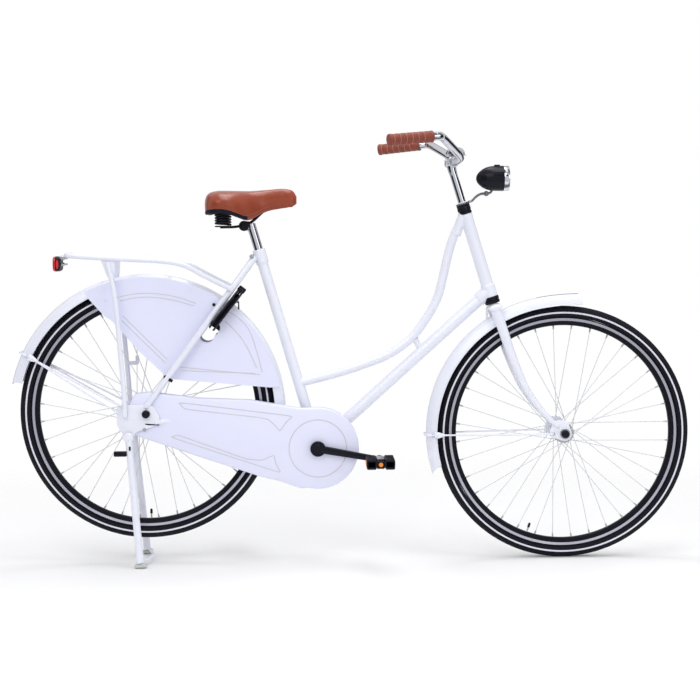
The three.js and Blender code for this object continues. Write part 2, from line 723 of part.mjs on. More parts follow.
function chainStay(side) {
  const pieces = [chainStayRod(side), dropoutPlate(side)];
  if (side > 0) {
    const bridgePlace = stayPoint(CHAIN_STAY_STRAIGHT - STAY_BRIDGE_RADIUS * 3, 0);
    const reach = CHAIN_STAY_OFFSET;
    pieces.push(cut(rod(atSide(bridgePlace, -reach), atSide(bridgePlace, reach), STAY_BRIDGE_RADIUS, 10),
      chainStayRod(-side, GAP)));
    pieces.push(rod(atSide(bridgePlace, 0), roundWheel(rearAxle, MUDGUARD_RADIUS + GAP * 2, MUDGUARD_START),
      STAY_BRIDGE_RADIUS / 2, 8));
  }
  const shell = shellRod(BRACKET_SHELL_RADIUS + GAP * 2, BRACKET_SHELL_WIDTH);
  return cut(join(...pieces), shell, ...dropoutCuts(side));
}


// Wheels, each built about its own centre
const origin = point(0, 0, 0);
const rimInner = TYRE_RADIUS - TYRE_HEIGHT - RIM_DEPTH + RIM_LIP - RIM_WALL;
const rimOuter = rimInner + RIM_DEPTH + RIM_WALL;

function rim() {
  const half = RIM_WIDTH / 2;
  const hook = half - RIM_WALL;
  const floor = rimInner + RIM_DEPTH / 3 + RIM_WALL;
  return turned([
    [rimInner, -half / 2], [rimOuter, -half], [rimOuter, -hook], [floor, 0],
    [rimOuter, hook], [rimOuter, half], [rimInner, half / 2],
  ], origin, AXLE_DIRECTION, WHEEL_SIDES);
}

const TYRE_WIDEST_SHARE = 0.5;
const TYRE_SHOULDER_SHARE = 0.84;

function tyre() {
  const half = TYRE_WIDTH / 2;
  const seat = RIM_WIDTH / 2;
  const low = rimOuter + GAP;
  const height = TYRE_RADIUS - low;
  const widest = low + height * TYRE_WIDEST_SHARE;
  const shoulder = low + height * TYRE_SHOULDER_SHARE;
  const side = half * TYRE_WIDEST_SHARE + half / 6;
  const outer = [
    [low, -seat], [widest, -half], [shoulder, -side], [TYRE_RADIUS, 0],
    [shoulder, side], [widest, half], [low, seat],
  ];
  const inner = [
    [low, seat - TYRE_WALL], [TYRE_RADIUS - TYRE_WALL * 2, 0], [low, TYRE_WALL - seat],
  ];
  return turned([...outer, ...inner], origin, AXLE_DIRECTION, WHEEL_SIDES);
}

const SPOKE_LEAN_ANGLE = 55;

function spokes(flangeRadius, flangeOffset) {
  const hole = flangeRadius - SPOKE_THICKNESS * 2;
  const step = 360 / SPOKE_COUNT;
  const aside = HUB_FLANGE_WIDTH / 2 + SPOKE_THICKNESS / 2 + GAP * 2;
  const seatRadius = rimInner - GAP;
  const bed = turned([
    [seatRadius, -SPOKE_RING_WIDTH / 2], [seatRadius, SPOKE_RING_WIDTH / 2],
    [seatRadius - SPOKE_RING_WALL, 0],
  ], origin, AXLE_DIRECTION, WHEEL_SIDES);
  const bars = Array.from({ length: SPOKE_COUNT }, (unused, i) => {
    const side = i % 2 === 0 ? 1 : -1;
    const turn = Math.floor(i / 2) % 2 === 0 ? 1 : -1;
    const angle = step * (i + 1 / 2);
    const footSide = side * (flangeOffset + turn * aside);
    const foot = roundWheel(origin, hole, angle + turn * SPOKE_LEAN_ANGLE, footSide);
    const head = roundWheel(origin, seatRadius - SPOKE_RING_WALL / 2, angle, side * SPOKE_THICKNESS * 2 / 3);
    return rod(foot, head, SPOKE_THICKNESS / 2, 3);
  });
  return join(bed, ...bars);
}

function frontHub() {
  const half = FRONT_HUB_LENGTH / 2;
  const flange = FRONT_HUB_FLANGE_OFFSET;
  const bore = AXLE_RADIUS + RUNNING_GAP;
  const w = HUB_FLANGE_WIDTH / 2;
  return turned([
    [bore, -half], [HUB_RADIUS, -half], [HUB_RADIUS, -flange - w], [HUB_FLANGE_RADIUS, -flange - w],
    [HUB_FLANGE_RADIUS, w - flange], [HUB_RADIUS, w - flange], [HUB_RADIUS, flange - w],
    [HUB_FLANGE_RADIUS, flange - w], [HUB_FLANGE_RADIUS, flange + w], [HUB_RADIUS, flange + w],
    [HUB_RADIUS, half], [bore, half],
  ], origin, AXLE_DIRECTION, 12);
}

function rearHub() {
  const flange = REAR_HUB_FLANGE_OFFSET;
  const bore = AXLE_RADIUS + RUNNING_GAP;
  const w = HUB_FLANGE_WIDTH / 2;
  return turned([
    [bore, -REAR_HUB_LENGTH_RIGHT], [REAR_HUB_RADIUS, -REAR_HUB_LENGTH_RIGHT],
    [REAR_HUB_RADIUS, -flange - w], [REAR_HUB_FLANGE_RADIUS, -flange - w],
    [REAR_HUB_FLANGE_RADIUS, w - flange], [REAR_HUB_RADIUS, w - flange], [REAR_HUB_RADIUS, flange - w],
    [REAR_HUB_FLANGE_RADIUS, flange - w], [REAR_HUB_FLANGE_RADIUS, flange + w],
    [REAR_HUB_RADIUS, flange + w], [REAR_HUB_RADIUS, REAR_HUB_LENGTH_LEFT - REAR_HUB_RADIUS / 2],
    [REAR_HUB_RADIUS / 2, REAR_HUB_LENGTH_LEFT], [bore, REAR_HUB_LENGTH_LEFT],
  ], origin, AXLE_DIRECTION, 12);
}

// Axle with a nut outside each end plate
function axle(centre, plateFace, spacerLeft, spacerRight, spacerRadius, plateInside) {
  const end = plateFace + GAP + AXLE_NUT_HEIGHT + AXLE_RADIUS / 2;
  const bar = rod(atSide(centre, -end), atSide(centre, end), AXLE_RADIUS, 6);
  const nuts = [-1, 1].map((side) => rod(atSide(centre, side * (plateFace + GAP)),
    atSide(centre, side * (plateFace + GAP + AXLE_NUT_HEIGHT)), AXLE_NUT_RADIUS, 6));
  const spacers = [
    rod(atSide(centre, spacerLeft), atSide(centre, plateInside - GAP), spacerRadius, 6),
    rod(atSide(centre, -spacerRight), atSide(centre, GAP - plateInside), spacerRadius, 6),
  ];
  return join(bar, ...nuts, ...spacers);
}

function frontAxleBar() {
  const inside = FORK_BLADE_END_OFFSET - FORK_END_THICKNESS / 2;
  const start = FRONT_HUB_LENGTH / 2 + GAP;
  return axle(frontAxle, FORK_BLADE_END_OFFSET + FORK_END_THICKNESS / 2, start, start,
    AXLE_RADIUS * 3 / 2, inside);
}

const sprocketEnd = CHAIN_LINE + TOOTHED_THICKNESS + GAP * 2;

function rearAxleBar() {
  const inside = DROPOUT_OFFSET - DROPOUT_THICKNESS / 2;
  return axle(rearAxle, DROPOUT_OFFSET + DROPOUT_THICKNESS / 2, REAR_HUB_LENGTH_LEFT + GAP,
    sprocketEnd + GAP, AXLE_RADIUS * 3 / 2, inside);
}

// Chain drive
const pitchRadius = (teeth) => CHAIN_PITCH / (2 * Math.sin(Math.PI / teeth));
const TOOTH_PLACE_SHARES = [-0.25, 0.25];

function toothedPlate(teeth, boss, bossLow, bossHigh, bore) {
  const radius = pitchRadius(teeth);
  const outline = [];
  for (let i = 0; i < teeth; i += 1) {
    TOOTH_PLACE_SHARES.forEach((place, k) => {
      const reach = k === 1 ? radius + TOOTH_HEIGHT : radius - TOOTH_HEIGHT;
      outline.push(roundWheel(origin, reach, (360 * (i + place)) / teeth));
    });
  }
  const half = TOOTHED_THICKNESS / 2;
  const disc = plate(outline, -CHAIN_LINE - half, half - CHAIN_LINE);
  const hub = rod(point(0, bossLow, 0), point(0, bossHigh, 0), boss, 14);
  const hole = rod(point(0, bossLow - OVERRUN, 0), point(0, bossHigh + OVERRUN, 0), bore, 14);
  return cut(join(disc, hub), hole);
}

function chainring() {
  const low = -CHAIN_LINE - TOOTHED_THICKNESS * 2;
  const high = -BRACKET_SHELL_WIDTH / 2 - GAP * 3;
  return toothedPlate(CHAINRING_TEETH, CRANK_BOSS_RADIUS, low, high, CRANK_AXLE_RADIUS + GAP);
}

function rearSprocket() {
  return toothedPlate(SPROCKET_TEETH, CASE_HUB_HOLE - GAP * 8, -sprocketEnd,
    -REAR_HUB_LENGTH_RIGHT - RUNNING_GAP, AXLE_RADIUS + RUNNING_GAP);
}

function chain() {
  const large = pitchRadius(CHAINRING_TEETH);
  const small = pitchRadius(SPROCKET_TEETH);
  const lean = Math.acos((large - small) / stayLength);
  const steps = 12;
  const stops = [];
  for (let i = 0; i <= steps; i += 1) {
    stops.push([crankCentre, large, lean + (2 * (Math.PI - lean) * i) / steps]);
  }
  for (let i = 0; i <= steps / 2; i += 1) {
    stops.push([rearAxle, small, -lean + (2 * lean * i) / (steps / 2)]);
  }
  const half = CHAIN_WIDTH / 2;
  const inner = half - CHAIN_WALL;
  const bridge = TOOTH_HEIGHT + RUNNING_GAP * 3;
  const section = [
    [-CHAIN_DEPTH / 2, -half], [bridge + CHAIN_WALL, -half], [bridge + CHAIN_WALL, half],
    [-CHAIN_DEPTH / 2, half], [-CHAIN_DEPTH / 2, inner], [bridge, inner], [bridge, -inner],
    [-CHAIN_DEPTH / 2, -inner],
  ];
  const rings = stops.map(([centre, radius, angle]) => {
    const out = stayAlong.clone().multiplyScalar(Math.cos(angle)).addScaledVector(stayUp, Math.sin(angle));
    return section.map(([rise, side]) => (
      moved(atSide(centre, side - CHAIN_LINE), out, radius + rise)));
  });
  return loft(rings, true);
}

// Chaincase outline: round front, tapering tail
const CASE_TOP_SHARES = [[0.147, 0.872], [0.437, 0.826], [0.72, 0.625], [1.005, 0.529], [1.085, 0.42]];
const CASE_TAIL_SHARES = [[1.112, 0.12], [1.112, -0.26]];
const CASE_BOTTOM_SHARES = [
  [1.063, -0.564], [0.952, -0.617], [0.653, -0.781], [0.443, -0.88], [0.304, -0.954],
  [0.175, -0.973], [0.054, -1.044],
];
const CASE_ARC_START = -105;
const CASE_ARC_END = 100;

function caseOutline(inset = 0) {
  const front = circlePoints(crankCentre, CASE_RADIUS, 14, radians(CASE_ARC_START),
    radians(CASE_ARC_END - CASE_ARC_START));
  const tail = [...CASE_TOP_SHARES, ...CASE_TAIL_SHARES, ...CASE_BOTTOM_SHARES];
  const back = tail.map(([reach, rise]) => stayPoint(reach * stayLength, rise * CASE_RADIUS));
  const points = [...front, ...back];
  return inset === 0 ? points : shrunk(points, inset);
}

// Outline moved inwards by one distance all round
function shrunk(points, distance) {
  const count = points.length;
  return points.map((here, i) => {
    const before = points[(i + count - 1) % count];
    const after = points[(i + 1) % count];
    const first = here.clone().sub(before).normalize();
    const second = after.clone().sub(here).normalize();
    const inFirst = point(-first.z, 0, first.x);
    const inSecond = point(-second.z, 0, second.x);
    const inward = inFirst.clone().add(inSecond);
    return moved(here, inward, (2 * distance) / inward.lengthSq());
  });
}

function caseCuts() {
  return [
    chainStayRod(-1, RUNNING_GAP), seatStayRod(-1, RUNNING_GAP),
    shellRod(BRACKET_SHELL_RADIUS + RUNNING_GAP),
  ];
}

function sideHole(centre, radius) {
  const low = atSide(centre, -CASE_OUTER_FACE - OVERRUN);
  return rod(low, atSide(centre, -CASE_INNER_FACE + OVERRUN), radius, 12);
}

function chaincase() {
  const open = -CASE_INNER_FACE - CASE_WALL - GAP;
  const outer = plate(caseOutline(), -CASE_OUTER_FACE, open);
  const hollow = plate(caseOutline(CASE_WALL), CASE_WALL - CASE_OUTER_FACE, open + OVERRUN);
  return cut(outer, hollow, sideHole(crankCentre, CASE_CRANK_HOLE), sideHole(rearAxle, CASE_AXLE_HOLE),
    ...caseCuts());
}

function chaincaseBack() {
  const back = plate(caseOutline(), -CASE_INNER_FACE - CASE_WALL, -CASE_INNER_FACE);
  return cut(back, sideHole(rearAxle, CASE_HUB_HOLE), ...caseCuts());
}

// Cranks and pedals, the right one reaching forwards
const crankDirection = (side) => point(
  -side * Math.cos(radians(CRANK_TILT)), 0, side * Math.sin(radians(CRANK_TILT)));
const pedalInside = CRANK_OFFSET + CRANK_ARM_OFFSET_GROWTH + CRANK_THICKNESS / 2 + RUNNING_GAP * 2;

function crank(side) {
  const boss = atSide(crankCentre, side * CRANK_OFFSET);
  const end = moved(crankCentre, crankDirection(side), CRANK_LENGTH);
  const eye = atSide(end, side * (CRANK_OFFSET + CRANK_ARM_OFFSET_GROWTH));
  const half = CRANK_THICKNESS / 2;
  const shift = (from, offset) => atSide(from, from.y + side * offset);
  const arm = taperedTube([boss, along(boss, eye, 1 / 2), eye], (share) => [
    CRANK_WIDTH - (CRANK_WIDTH - CRANK_EYE_RADIUS) * share / 2, CRANK_THICKNESS - share * half / 3], 2, 8);
  const spindleEnd = shift(eye, half + RUNNING_GAP + PEDAL_LENGTH - OVERRUN);
  const inside = BRACKET_SHELL_WIDTH / 2 + GAP;
  const bossInside = side < 0 ? CASE_OUTER_FACE + RUNNING_GAP * 2 : inside;
  return cut(join(
    rod(atSide(crankCentre, side * bossInside), shift(boss, half), CRANK_BOSS_RADIUS, 14),
    arm,
    rod(shift(eye, -half), shift(eye, half), CRANK_EYE_RADIUS),
    rod(eye, spindleEnd, PEDAL_SPINDLE_RADIUS, 8),
  ), rod(atSide(crankCentre, side * inside), shift(boss, half + OVERRUN), CRANK_AXLE_RADIUS + GAP, 14));
}

function crankAxle() {
  const end = CRANK_OFFSET + CRANK_THICKNESS / 2 - GAP;
  return rod(atSide(crankCentre, -end), atSide(crankCentre, end), CRANK_AXLE_RADIUS, 14);
}

function pedal(side) {
  const centreSide = side * (pedalInside + PEDAL_LENGTH / 2);
  const centre = atSide(moved(crankCentre, crankDirection(side), CRANK_LENGTH), centreSide);
  const blockPlace = (PEDAL_WIDTH - PEDAL_BLOCK_WIDTH) / 2;
  const blocks = [-1, 1].map((end) => block(
    moved(centre, FORWARD, end * blockPlace), PEDAL_BLOCK_WIDTH, PEDAL_LENGTH, PEDAL_HEIGHT));
  const cheek = PEDAL_SPINDLE_RADIUS;
  const cheeks = [-1, 1].map((end) => block(
    atSide(centre, centre.y + end * (PEDAL_LENGTH - cheek) / 2),
    PEDAL_WIDTH - cheek, cheek, PEDAL_HEIGHT * 2 / 3));
  const low = atSide(centre, centre.y - PEDAL_LENGTH / 2);
  const high = atSide(centre, centre.y + PEDAL_LENGTH / 2);
  const sleeve = rod(low, high, PEDAL_SPINDLE_RADIUS * 2);
  const hole = rod(atSide(low, low.y - OVERRUN), atSide(high, high.y + OVERRUN),
    PEDAL_SPINDLE_RADIUS + RUNNING_GAP);
  return cut(join(...blocks, ...cheeks, sleeve), hole);
}

function brakeArm() {
  const low = REAR_HUB_LENGTH_LEFT + RUNNING_GAP * 2;
  const centre = atSide(rearAxle, low);
  const tip = moved(centre, FORWARD, BRAKE_ARM_LENGTH);
  const holeRadius = AXLE_RADIUS * 3 / 2 + RUNNING_GAP;
  const eye = ring(holeRadius, BRAKE_ARM_WIDTH, 0, BRAKE_ARM_THICKNESS, centre, AXLE_DIRECTION);
  const armCentre = atSide(along(centre, tip, 1 / 2), low + BRAKE_ARM_THICKNESS / 2);
  const bar = block(armCentre, BRAKE_ARM_LENGTH, BRAKE_ARM_THICKNESS, BRAKE_ARM_WIDTH);
  const hole = rod(atSide(rearAxle, low - OVERRUN), atSide(rearAxle, low + OVERRUN * 2), holeRadius);
  const strapTop = atSide(moved(tip, FORWARD, -BRAKE_ARM_WIDTH / 2), low + BRAKE_ARM_THICKNESS / 2);
  const strapFoot = stayPoint(stayLength - BRAKE_ARM_LENGTH, 0, CHAIN_LINE);
  const strap = rod(strapTop, strapFoot, BRAKE_ARM_WIDTH / 4, 8);
  return cut(join(eye, bar, strap), hole, chainStayRod(1, GAP));
}

// Mudguard section: rounded crown and straight sides, as radius and side offset
const CROWN_SHARES = [[-1, 0], [-0.72, 0.76], [0, 1], [0.72, 0.76], [1, 0]];

function mudguardSection(crest) {
  const half = MUDGUARD_WIDTH / 2;
  const outside = CROWN_SHARES.map(([side, rise]) => [crest - MUDGUARD_DEPTH * (1 - rise), side * half]);
  const inside = CROWN_SHARES.map(([side, rise]) => [
    crest - MUDGUARD_WALL - (MUDGUARD_DEPTH - MUDGUARD_WALL) * (1 - rise), side * (half - MUDGUARD_WALL),
  ]).reverse();
  return [...outside, ...inside];
}

function rearMudguard() {
  return wheelSweep(mudguardSection(MUDGUARD_RADIUS), rearAxle, MUDGUARD_START, REAR_MUDGUARD_END, 18);
}

function frontMudguard() {
  const section = mudguardSection(MUDGUARD_RADIUS);
  return wheelSweep(section, frontAxle, FRONT_MUDGUARD_START, FRONT_MUDGUARD_END, 12);
}

// Wire from one side of the axle, over the mudguard and down to the other side
function wireLoop(centre, angle, foot, side) {
  const high = MUDGUARD_RADIUS + WIRE_RADIUS + GAP;
  const low = MUDGUARD_RADIUS - MUDGUARD_DEPTH;
  const wide = MUDGUARD_WIDTH / 2 + WIRE_RADIUS + GAP;
  const edge = roundWheel(centre, low, angle, -wide);
  const half = [
    atSide(foot, -side), atSide(along(foot, edge, WIRE_BEND_SHARE), -side), edge,
    roundWheel(centre, low + MUDGUARD_DEPTH * WIRE_SHOULDER_SHARE, angle, -wide),
    roundWheel(centre, high, angle, WIRE_RADIUS * 2 - wide),
  ];
  const crest = roundWheel(centre, high + WIRE_RADIUS / 2, angle, 0);
  const mirrored = half.map((p) => atSide(p, -p.y)).reverse();
  return tube([...half, crest, ...mirrored], WIRE_RADIUS, 22, 5);
}
const WIRE_SHOULDER_SHARE = 0.75;
const WIRE_BEND_SHARE = 0.16;
const REAR_WIRE_ANGLE = 154;
const FRONT_WIRE_ANGLE = 180.5;

function rearMudguardStays() {
  const high = [WIRE_FOOT_SHARES[0] * DROPOUT_BACK, WIRE_FOOT_SHARES[1] * DROPOUT_HEIGHT];
  const low = [WIRE_FOOT_SHARES[2] * DROPOUT_BACK, WIRE_FOOT_SHARES[3] * DROPOUT_HEIGHT];
  const side = DROPOUT_OFFSET + DROPOUT_THICKNESS / 2 + WIRE_RADIUS + GAP;
  const feet = [high, low].map(([back, rise]) => point(rearAxle.x - back, 0, rearAxle.z + rise));
  const edge = roundWheel(rearAxle, MUDGUARD_RADIUS - MUDGUARD_DEPTH, REAR_WIRE_ANGLE);
  const wide = MUDGUARD_WIDTH / 2 + WIRE_RADIUS + GAP * 2;
  const lower = [-1, 1].map((hand) => {
    const bend = atSide(along(feet[1], edge, WIRE_BEND_SHARE), hand * side);
    return tube([atSide(feet[1], hand * side), bend, atSide(edge, hand * wide)], WIRE_RADIUS, 6, 5);
  });
  return join(wireLoop(rearAxle, REAR_WIRE_ANGLE, feet[0], side), ...lower);
}
const WIRE_FOOT_SHARES = [0.82, 0.28, 0.94, 0.05];

function frontMudguardStays() {
  const side = FORK_BLADE_END_OFFSET + FORK_END_THICKNESS / 2 + WIRE_RADIUS + GAP;
  const foot = moved(frontAxle, FORWARD, -FORK_END_TAIL * FRONT_FOOT_SHARE);
  return wireLoop(frontAxle, FRONT_WIRE_ANGLE, foot, side);
}
const FRONT_FOOT_SHARE = 0.75;

// Coat guards beside the rear wheel
const GUARD_INNER_SHARES = [
  [0.944, 116.2], [0.782, 112.9], [0.715, 109.5], [0.454, 95.8], [0.304, 60], [0.312, 53], [0.93, 11.2],
];
const GUARD_ARC_START = 11;
const GUARD_ARC_END = 116.4;
const GUARD_PIN_ANGLES = [108, 70, 22];

function coatGuard(side) {
  const arc = circlePoints(rearAxle, COAT_GUARD_RADIUS, 13, radians(GUARD_ARC_START),
    radians(GUARD_ARC_END - GUARD_ARC_START));
  const inner = GUARD_INNER_SHARES.map(([share, angle]) => (
    roundWheel(rearAxle, share * COAT_GUARD_RADIUS, angle)));
  const face = side * COAT_GUARD_OFFSET;
  const back = face + side * COAT_GUARD_WALL;
  const tool = (centre) => rod(atSide(centre, face - side * OVERRUN), atSide(centre, back + side * OVERRUN),
    COAT_GUARD_HOLE_RADIUS, 10);
  const holeLow = roundWheel(rearAxle, LOCK_PLACE - LOCK_OUTER_RADIUS + SHACKLE_RADIUS, LOCK_ANGLE);
  const holeHigh = roundWheel(rearAxle, LOCK_PLACE - LOCK_INNER_RADIUS + SHACKLE_RADIUS, LOCK_ANGLE);
  const rest = cut(plate([...arc, ...inner], face, back), tool(holeLow), tool(holeHigh));
  const pinRadius = MUDGUARD_RADIUS - MUDGUARD_DEPTH + COAT_GUARD_BOLT_RADIUS;
  const pins = GUARD_PIN_ANGLES.map((angle) => rod(
    roundWheel(rearAxle, pinRadius, angle, side * (MUDGUARD_WIDTH / 2 + GAP)),
    roundWheel(rearAxle, pinRadius, angle, back + side * COAT_GUARD_WALL), COAT_GUARD_BOLT_RADIUS, 6));
  return cut(join(rest, ...pins), seatStayRod(side, GAP));
}

// Carrier over the rear wheel
const railSide = RACK_WIDTH / 2;
const rackTopRear = moved(moved(rearAxle, FORWARD, -RACK_REAR), UP, RACK_HEIGHT);
const rackTopFront = moved(moved(rackTopRear, FORWARD, RACK_LENGTH), UP, -RACK_SLOPE);
const RACK_BAR_SHARES = [0.12, 0.38, 0.64, 0.94];

function rackFoot() {
  const line = seatStayStart.clone().sub(rearAxle).normalize();
  return moved(rearAxle, line, MUDGUARD_RADIUS + RACK_FOOT_CLEARANCE);
}

function rackRail(growth = 0) {
  const foot = rackFoot();
  const half = (side) => [
    atSide(foot, side * (railSide - RACK_BAR_RADIUS / 2)),
    atSide(along(foot, rackTopFront, 1 / 2), side * railSide),
    atSide(along(foot, rackTopFront, BEND_SHARE), side * railSide),
    atSide(along(rackTopFront, rackTopRear, 1 - BEND_SHARE), side * railSide),
    atSide(along(rackTopFront, rackTopRear, 1 / 2), side * railSide),
    atSide(along(rackTopFront, rackTopRear, BEND_SHARE), side * railSide),
  ];
  const back = moved(rackTopRear, FORWARD, RACK_RAIL_RADIUS);
  const cornerSide = railSide - RACK_RAIL_RADIUS * 2;
  const left = half(1);
  const right = half(-1);
  const loop = [...right, atSide(back, -cornerSide), atSide(back, 0), atSide(back, cornerSide),
    ...left.reverse()];
  return tube(loop, RACK_RAIL_RADIUS + growth, 32, 6);
}

function rearRack() {
  const bars = RACK_BAR_SHARES.map((share) => {
    const centre = along(rackTopRear, rackTopFront, share);
    return rod(atSide(centre, -railSide), atSide(centre, railSide), RACK_BAR_RADIUS, 5);
  });
  return cut(join(rackRail(), ...bars), seatStayRod(1, GAP), seatStayRod(-1, GAP));
}
const BEND_SHARE = 0.9;

// Leg points: height share above the foot, and how far back of the line to the rail
const RACK_LEG_SHARES = [[0, 0], [0.1, 0.02], [0.38, 0.22], [0.8, 0.6], [1, 1]];

function rackLeg(side) {
  const foot = point(rearAxle.x - RACK_FOOT_BACK, 0, rearAxle.z);
  const railShare = (RACK_REAR * LEG_TOP_SHARE) / RACK_LENGTH;
  const rail = along(rackTopRear, rackTopFront, railShare);
  const top = moved(rail, UP, -RACK_RAIL_RADIUS * 2);
  const offset = side * (DROPOUT_OFFSET + DROPOUT_THICKNESS / 2 + RACK_LEG_RADIUS + GAP);
  const route = RACK_LEG_SHARES.map(([rise, back]) => point(
    foot.x + (top.x - foot.x) * back, offset, foot.z + (top.z - foot.z) * rise));
  const leg = tube(route, RACK_LEG_RADIUS, 10, 8);
  const plateCentre = atSide(moved(rail, UP, -RACK_PLATE_HEIGHT / 2), side * railSide);
  const shield = block(plateCentre, RACK_PLATE_LENGTH, RACK_PLATE_WALL, RACK_PLATE_HEIGHT);
  return cut(join(leg, shield), rackRail(GAP * 2));
}
const LEG_TOP_SHARE = 0.55;

function rearLight() {
  const back = rackTopRear.x - LAMP_BRACKET_DEPTH - GAP;
  const lampCentre = point(back - LAMP_DEPTH / 2, 0, rackTopRear.z - LAMP_HEIGHT / 2);
  const lamp = roundedBox(lampCentre, LAMP_DEPTH, LAMP_WIDTH, LAMP_HEIGHT);
  const depth = LAMP_BRACKET_DEPTH + LAMP_DEPTH / 4;
  const bracketCentre = point(rackTopRear.x - GAP - depth / 2, 0, rackTopRear.z - LAMP_BRACKET_HEIGHT / 2);
  const bracket = block(bracketCentre, depth, LAMP_BRACKET_WIDTH, LAMP_BRACKET_HEIGHT);
  return cut(join(lamp, bracket), rackRail(GAP));
}

// Box whose upright outline has cut corners
function roundedBox(centre, length, width, height) {
  const w = width / 2;
  const h = height / 2;
  const c = Math.min(w, h) / 2;
  const outline = [
    [-w, c - h], [c - w, -h], [w - c, -h], [w, c - h], [w, h - c], [w - c, h], [c - w, h], [-w, h - c],
  ];
  const rings = [[-length / 2, END_SHARE], [c / 2 - length / 2, 1], [length / 2, 1]].map(([x, size]) => (
    outline.map(([y, z]) => point(centre.x + x, centre.y + y * size, centre.z + z * size))));
  return loft(rings, false, outline);
}
const END_SHARE = 0.88;

// Ring lock: a horseshoe round the tyre, the shackle turning inside it
const lockAngle = radians(LOCK_ANGLE);
const lockOut = point(Math.cos(lockAngle), 0, Math.sin(lockAngle));
const lockNear = point(0, -1, 0);
const lockTurn = new THREE.Vector3().crossVectors(lockOut, lockNear);
const lockCentre = moved(rearAxle, lockOut, LOCK_PLACE);
const shackleCentreRadius = (LOCK_INNER_RADIUS + LOCK_OUTER_RADIUS) / 2;

function lockPoint(radius, angle, aside) {
  const a = radians(angle);
  return moved(moved(moved(lockCentre, lockOut, radius * Math.cos(a)), lockNear, radius * Math.sin(a)),
    lockTurn, aside);
}

function lockArc(section, from, to, steps) {
  const rings = Array.from({ length: steps + 1 }, (unused, i) => {
    const angle = from + ((to - from) * i) / steps;
    return section.map(([radius, aside]) => lockPoint(radius, angle, aside));
  });
  return loft(rings, false, section);
}

function roundSection(centre, radius, sides) {
  return Array.from({ length: sides }, (unused, i) => {
    const angle = (2 * Math.PI * i) / sides;
    return [centre + radius * Math.cos(angle), radius * Math.sin(angle)];
  });
}

const SHACKLE_START = 17;
const SHACKLE_END = 131;
const KNOB_ANGLE = 28;
const SHACKLE_RANGE = 100;

function ringLock() {
  const half = LOCK_THICKNESS / 2;
  const bevel = half / 2;
  const section = [
    [LOCK_INNER_RADIUS, -half], [LOCK_INNER_RADIUS, half], [LOCK_OUTER_RADIUS - bevel, half],
    [LOCK_OUTER_RADIUS, half - bevel], [LOCK_OUTER_RADIUS, bevel - half],
    [LOCK_OUTER_RADIUS - bevel, -half],
  ];
  const body = lockArc(section, -LOCK_HALF_ARC, LOCK_HALF_ARC, 14);
  const channelRadius = SHACKLE_RADIUS + RUNNING_GAP * 2;
  const channel = ring(shackleCentreRadius - channelRadius, shackleCentreRadius + channelRadius,
    -channelRadius, channelRadius, lockCentre, lockTurn, 18);
  const slotHalf = SHACKLE_KNOB_RADIUS + RUNNING_GAP;
  const slotSection = [
    [shackleCentreRadius, -slotHalf], [LOCK_OUTER_RADIUS + OVERRUN, -slotHalf],
    [LOCK_OUTER_RADIUS + OVERRUN, slotHalf], [shackleCentreRadius, slotHalf],
  ];
  const slotEnd = KNOB_ANGLE + SHACKLE_RANGE + OVERRUN_ANGLE;
  const slot = lockArc(slotSection, KNOB_ANGLE - OVERRUN_ANGLE, slotEnd, 8);
  const caseLow = shackleCentreRadius + channelRadius + CASE_WALL;
  const wide = LOCK_CASE_WIDTH / 2;
  const thick = LOCK_CASE_HEIGHT / 2;
  const box = [[-wide, -thick], [wide, -thick], [wide, thick], [-wide, thick]];
  const rings = [caseLow, LOCK_OUTER_RADIUS + LOCK_THICKNESS / 2].map((reach) => box.map(([near, aside]) => (
    moved(moved(moved(lockCentre, lockOut, reach), lockNear, near), lockTurn, aside))));
  const lugs = [-1, 1].map((side) => {
    const foot = moved(moved(lockCentre, lockOut, LOCK_LUG_SHARE * shackleCentreRadius), lockTurn, -half / 2);
    const start = atSide(foot, side * SEAT_STAY_BULGE_OFFSET);
    return rod(moved(start, lockTurn, half / 2), moved(start, lockTurn, -LOCK_THICKNESS),
      STAY_BRIDGE_RADIUS, 8);
  });
  const stays = [seatStayRod(1, GAP), seatStayRod(-1, GAP), stayBridge(GAP)];
  return cut(join(body, loft(rings, false, box), ...lugs), channel, slot, ...stays);
}
const OVERRUN_ANGLE = 8;
const LOCK_LUG_SHARE = 0.69;

function ringLockShackle() {
  const arc = lockArc(roundSection(shackleCentreRadius, SHACKLE_RADIUS, 6), SHACKLE_START, SHACKLE_END, 14);
  const knob = rod(lockPoint(shackleCentreRadius, KNOB_ANGLE, 0),
    lockPoint(LOCK_OUTER_RADIUS + SHACKLE_KNOB_REACH, KNOB_ANGLE, 0), SHACKLE_KNOB_RADIUS, 6);
  return join(arc, knob);
}

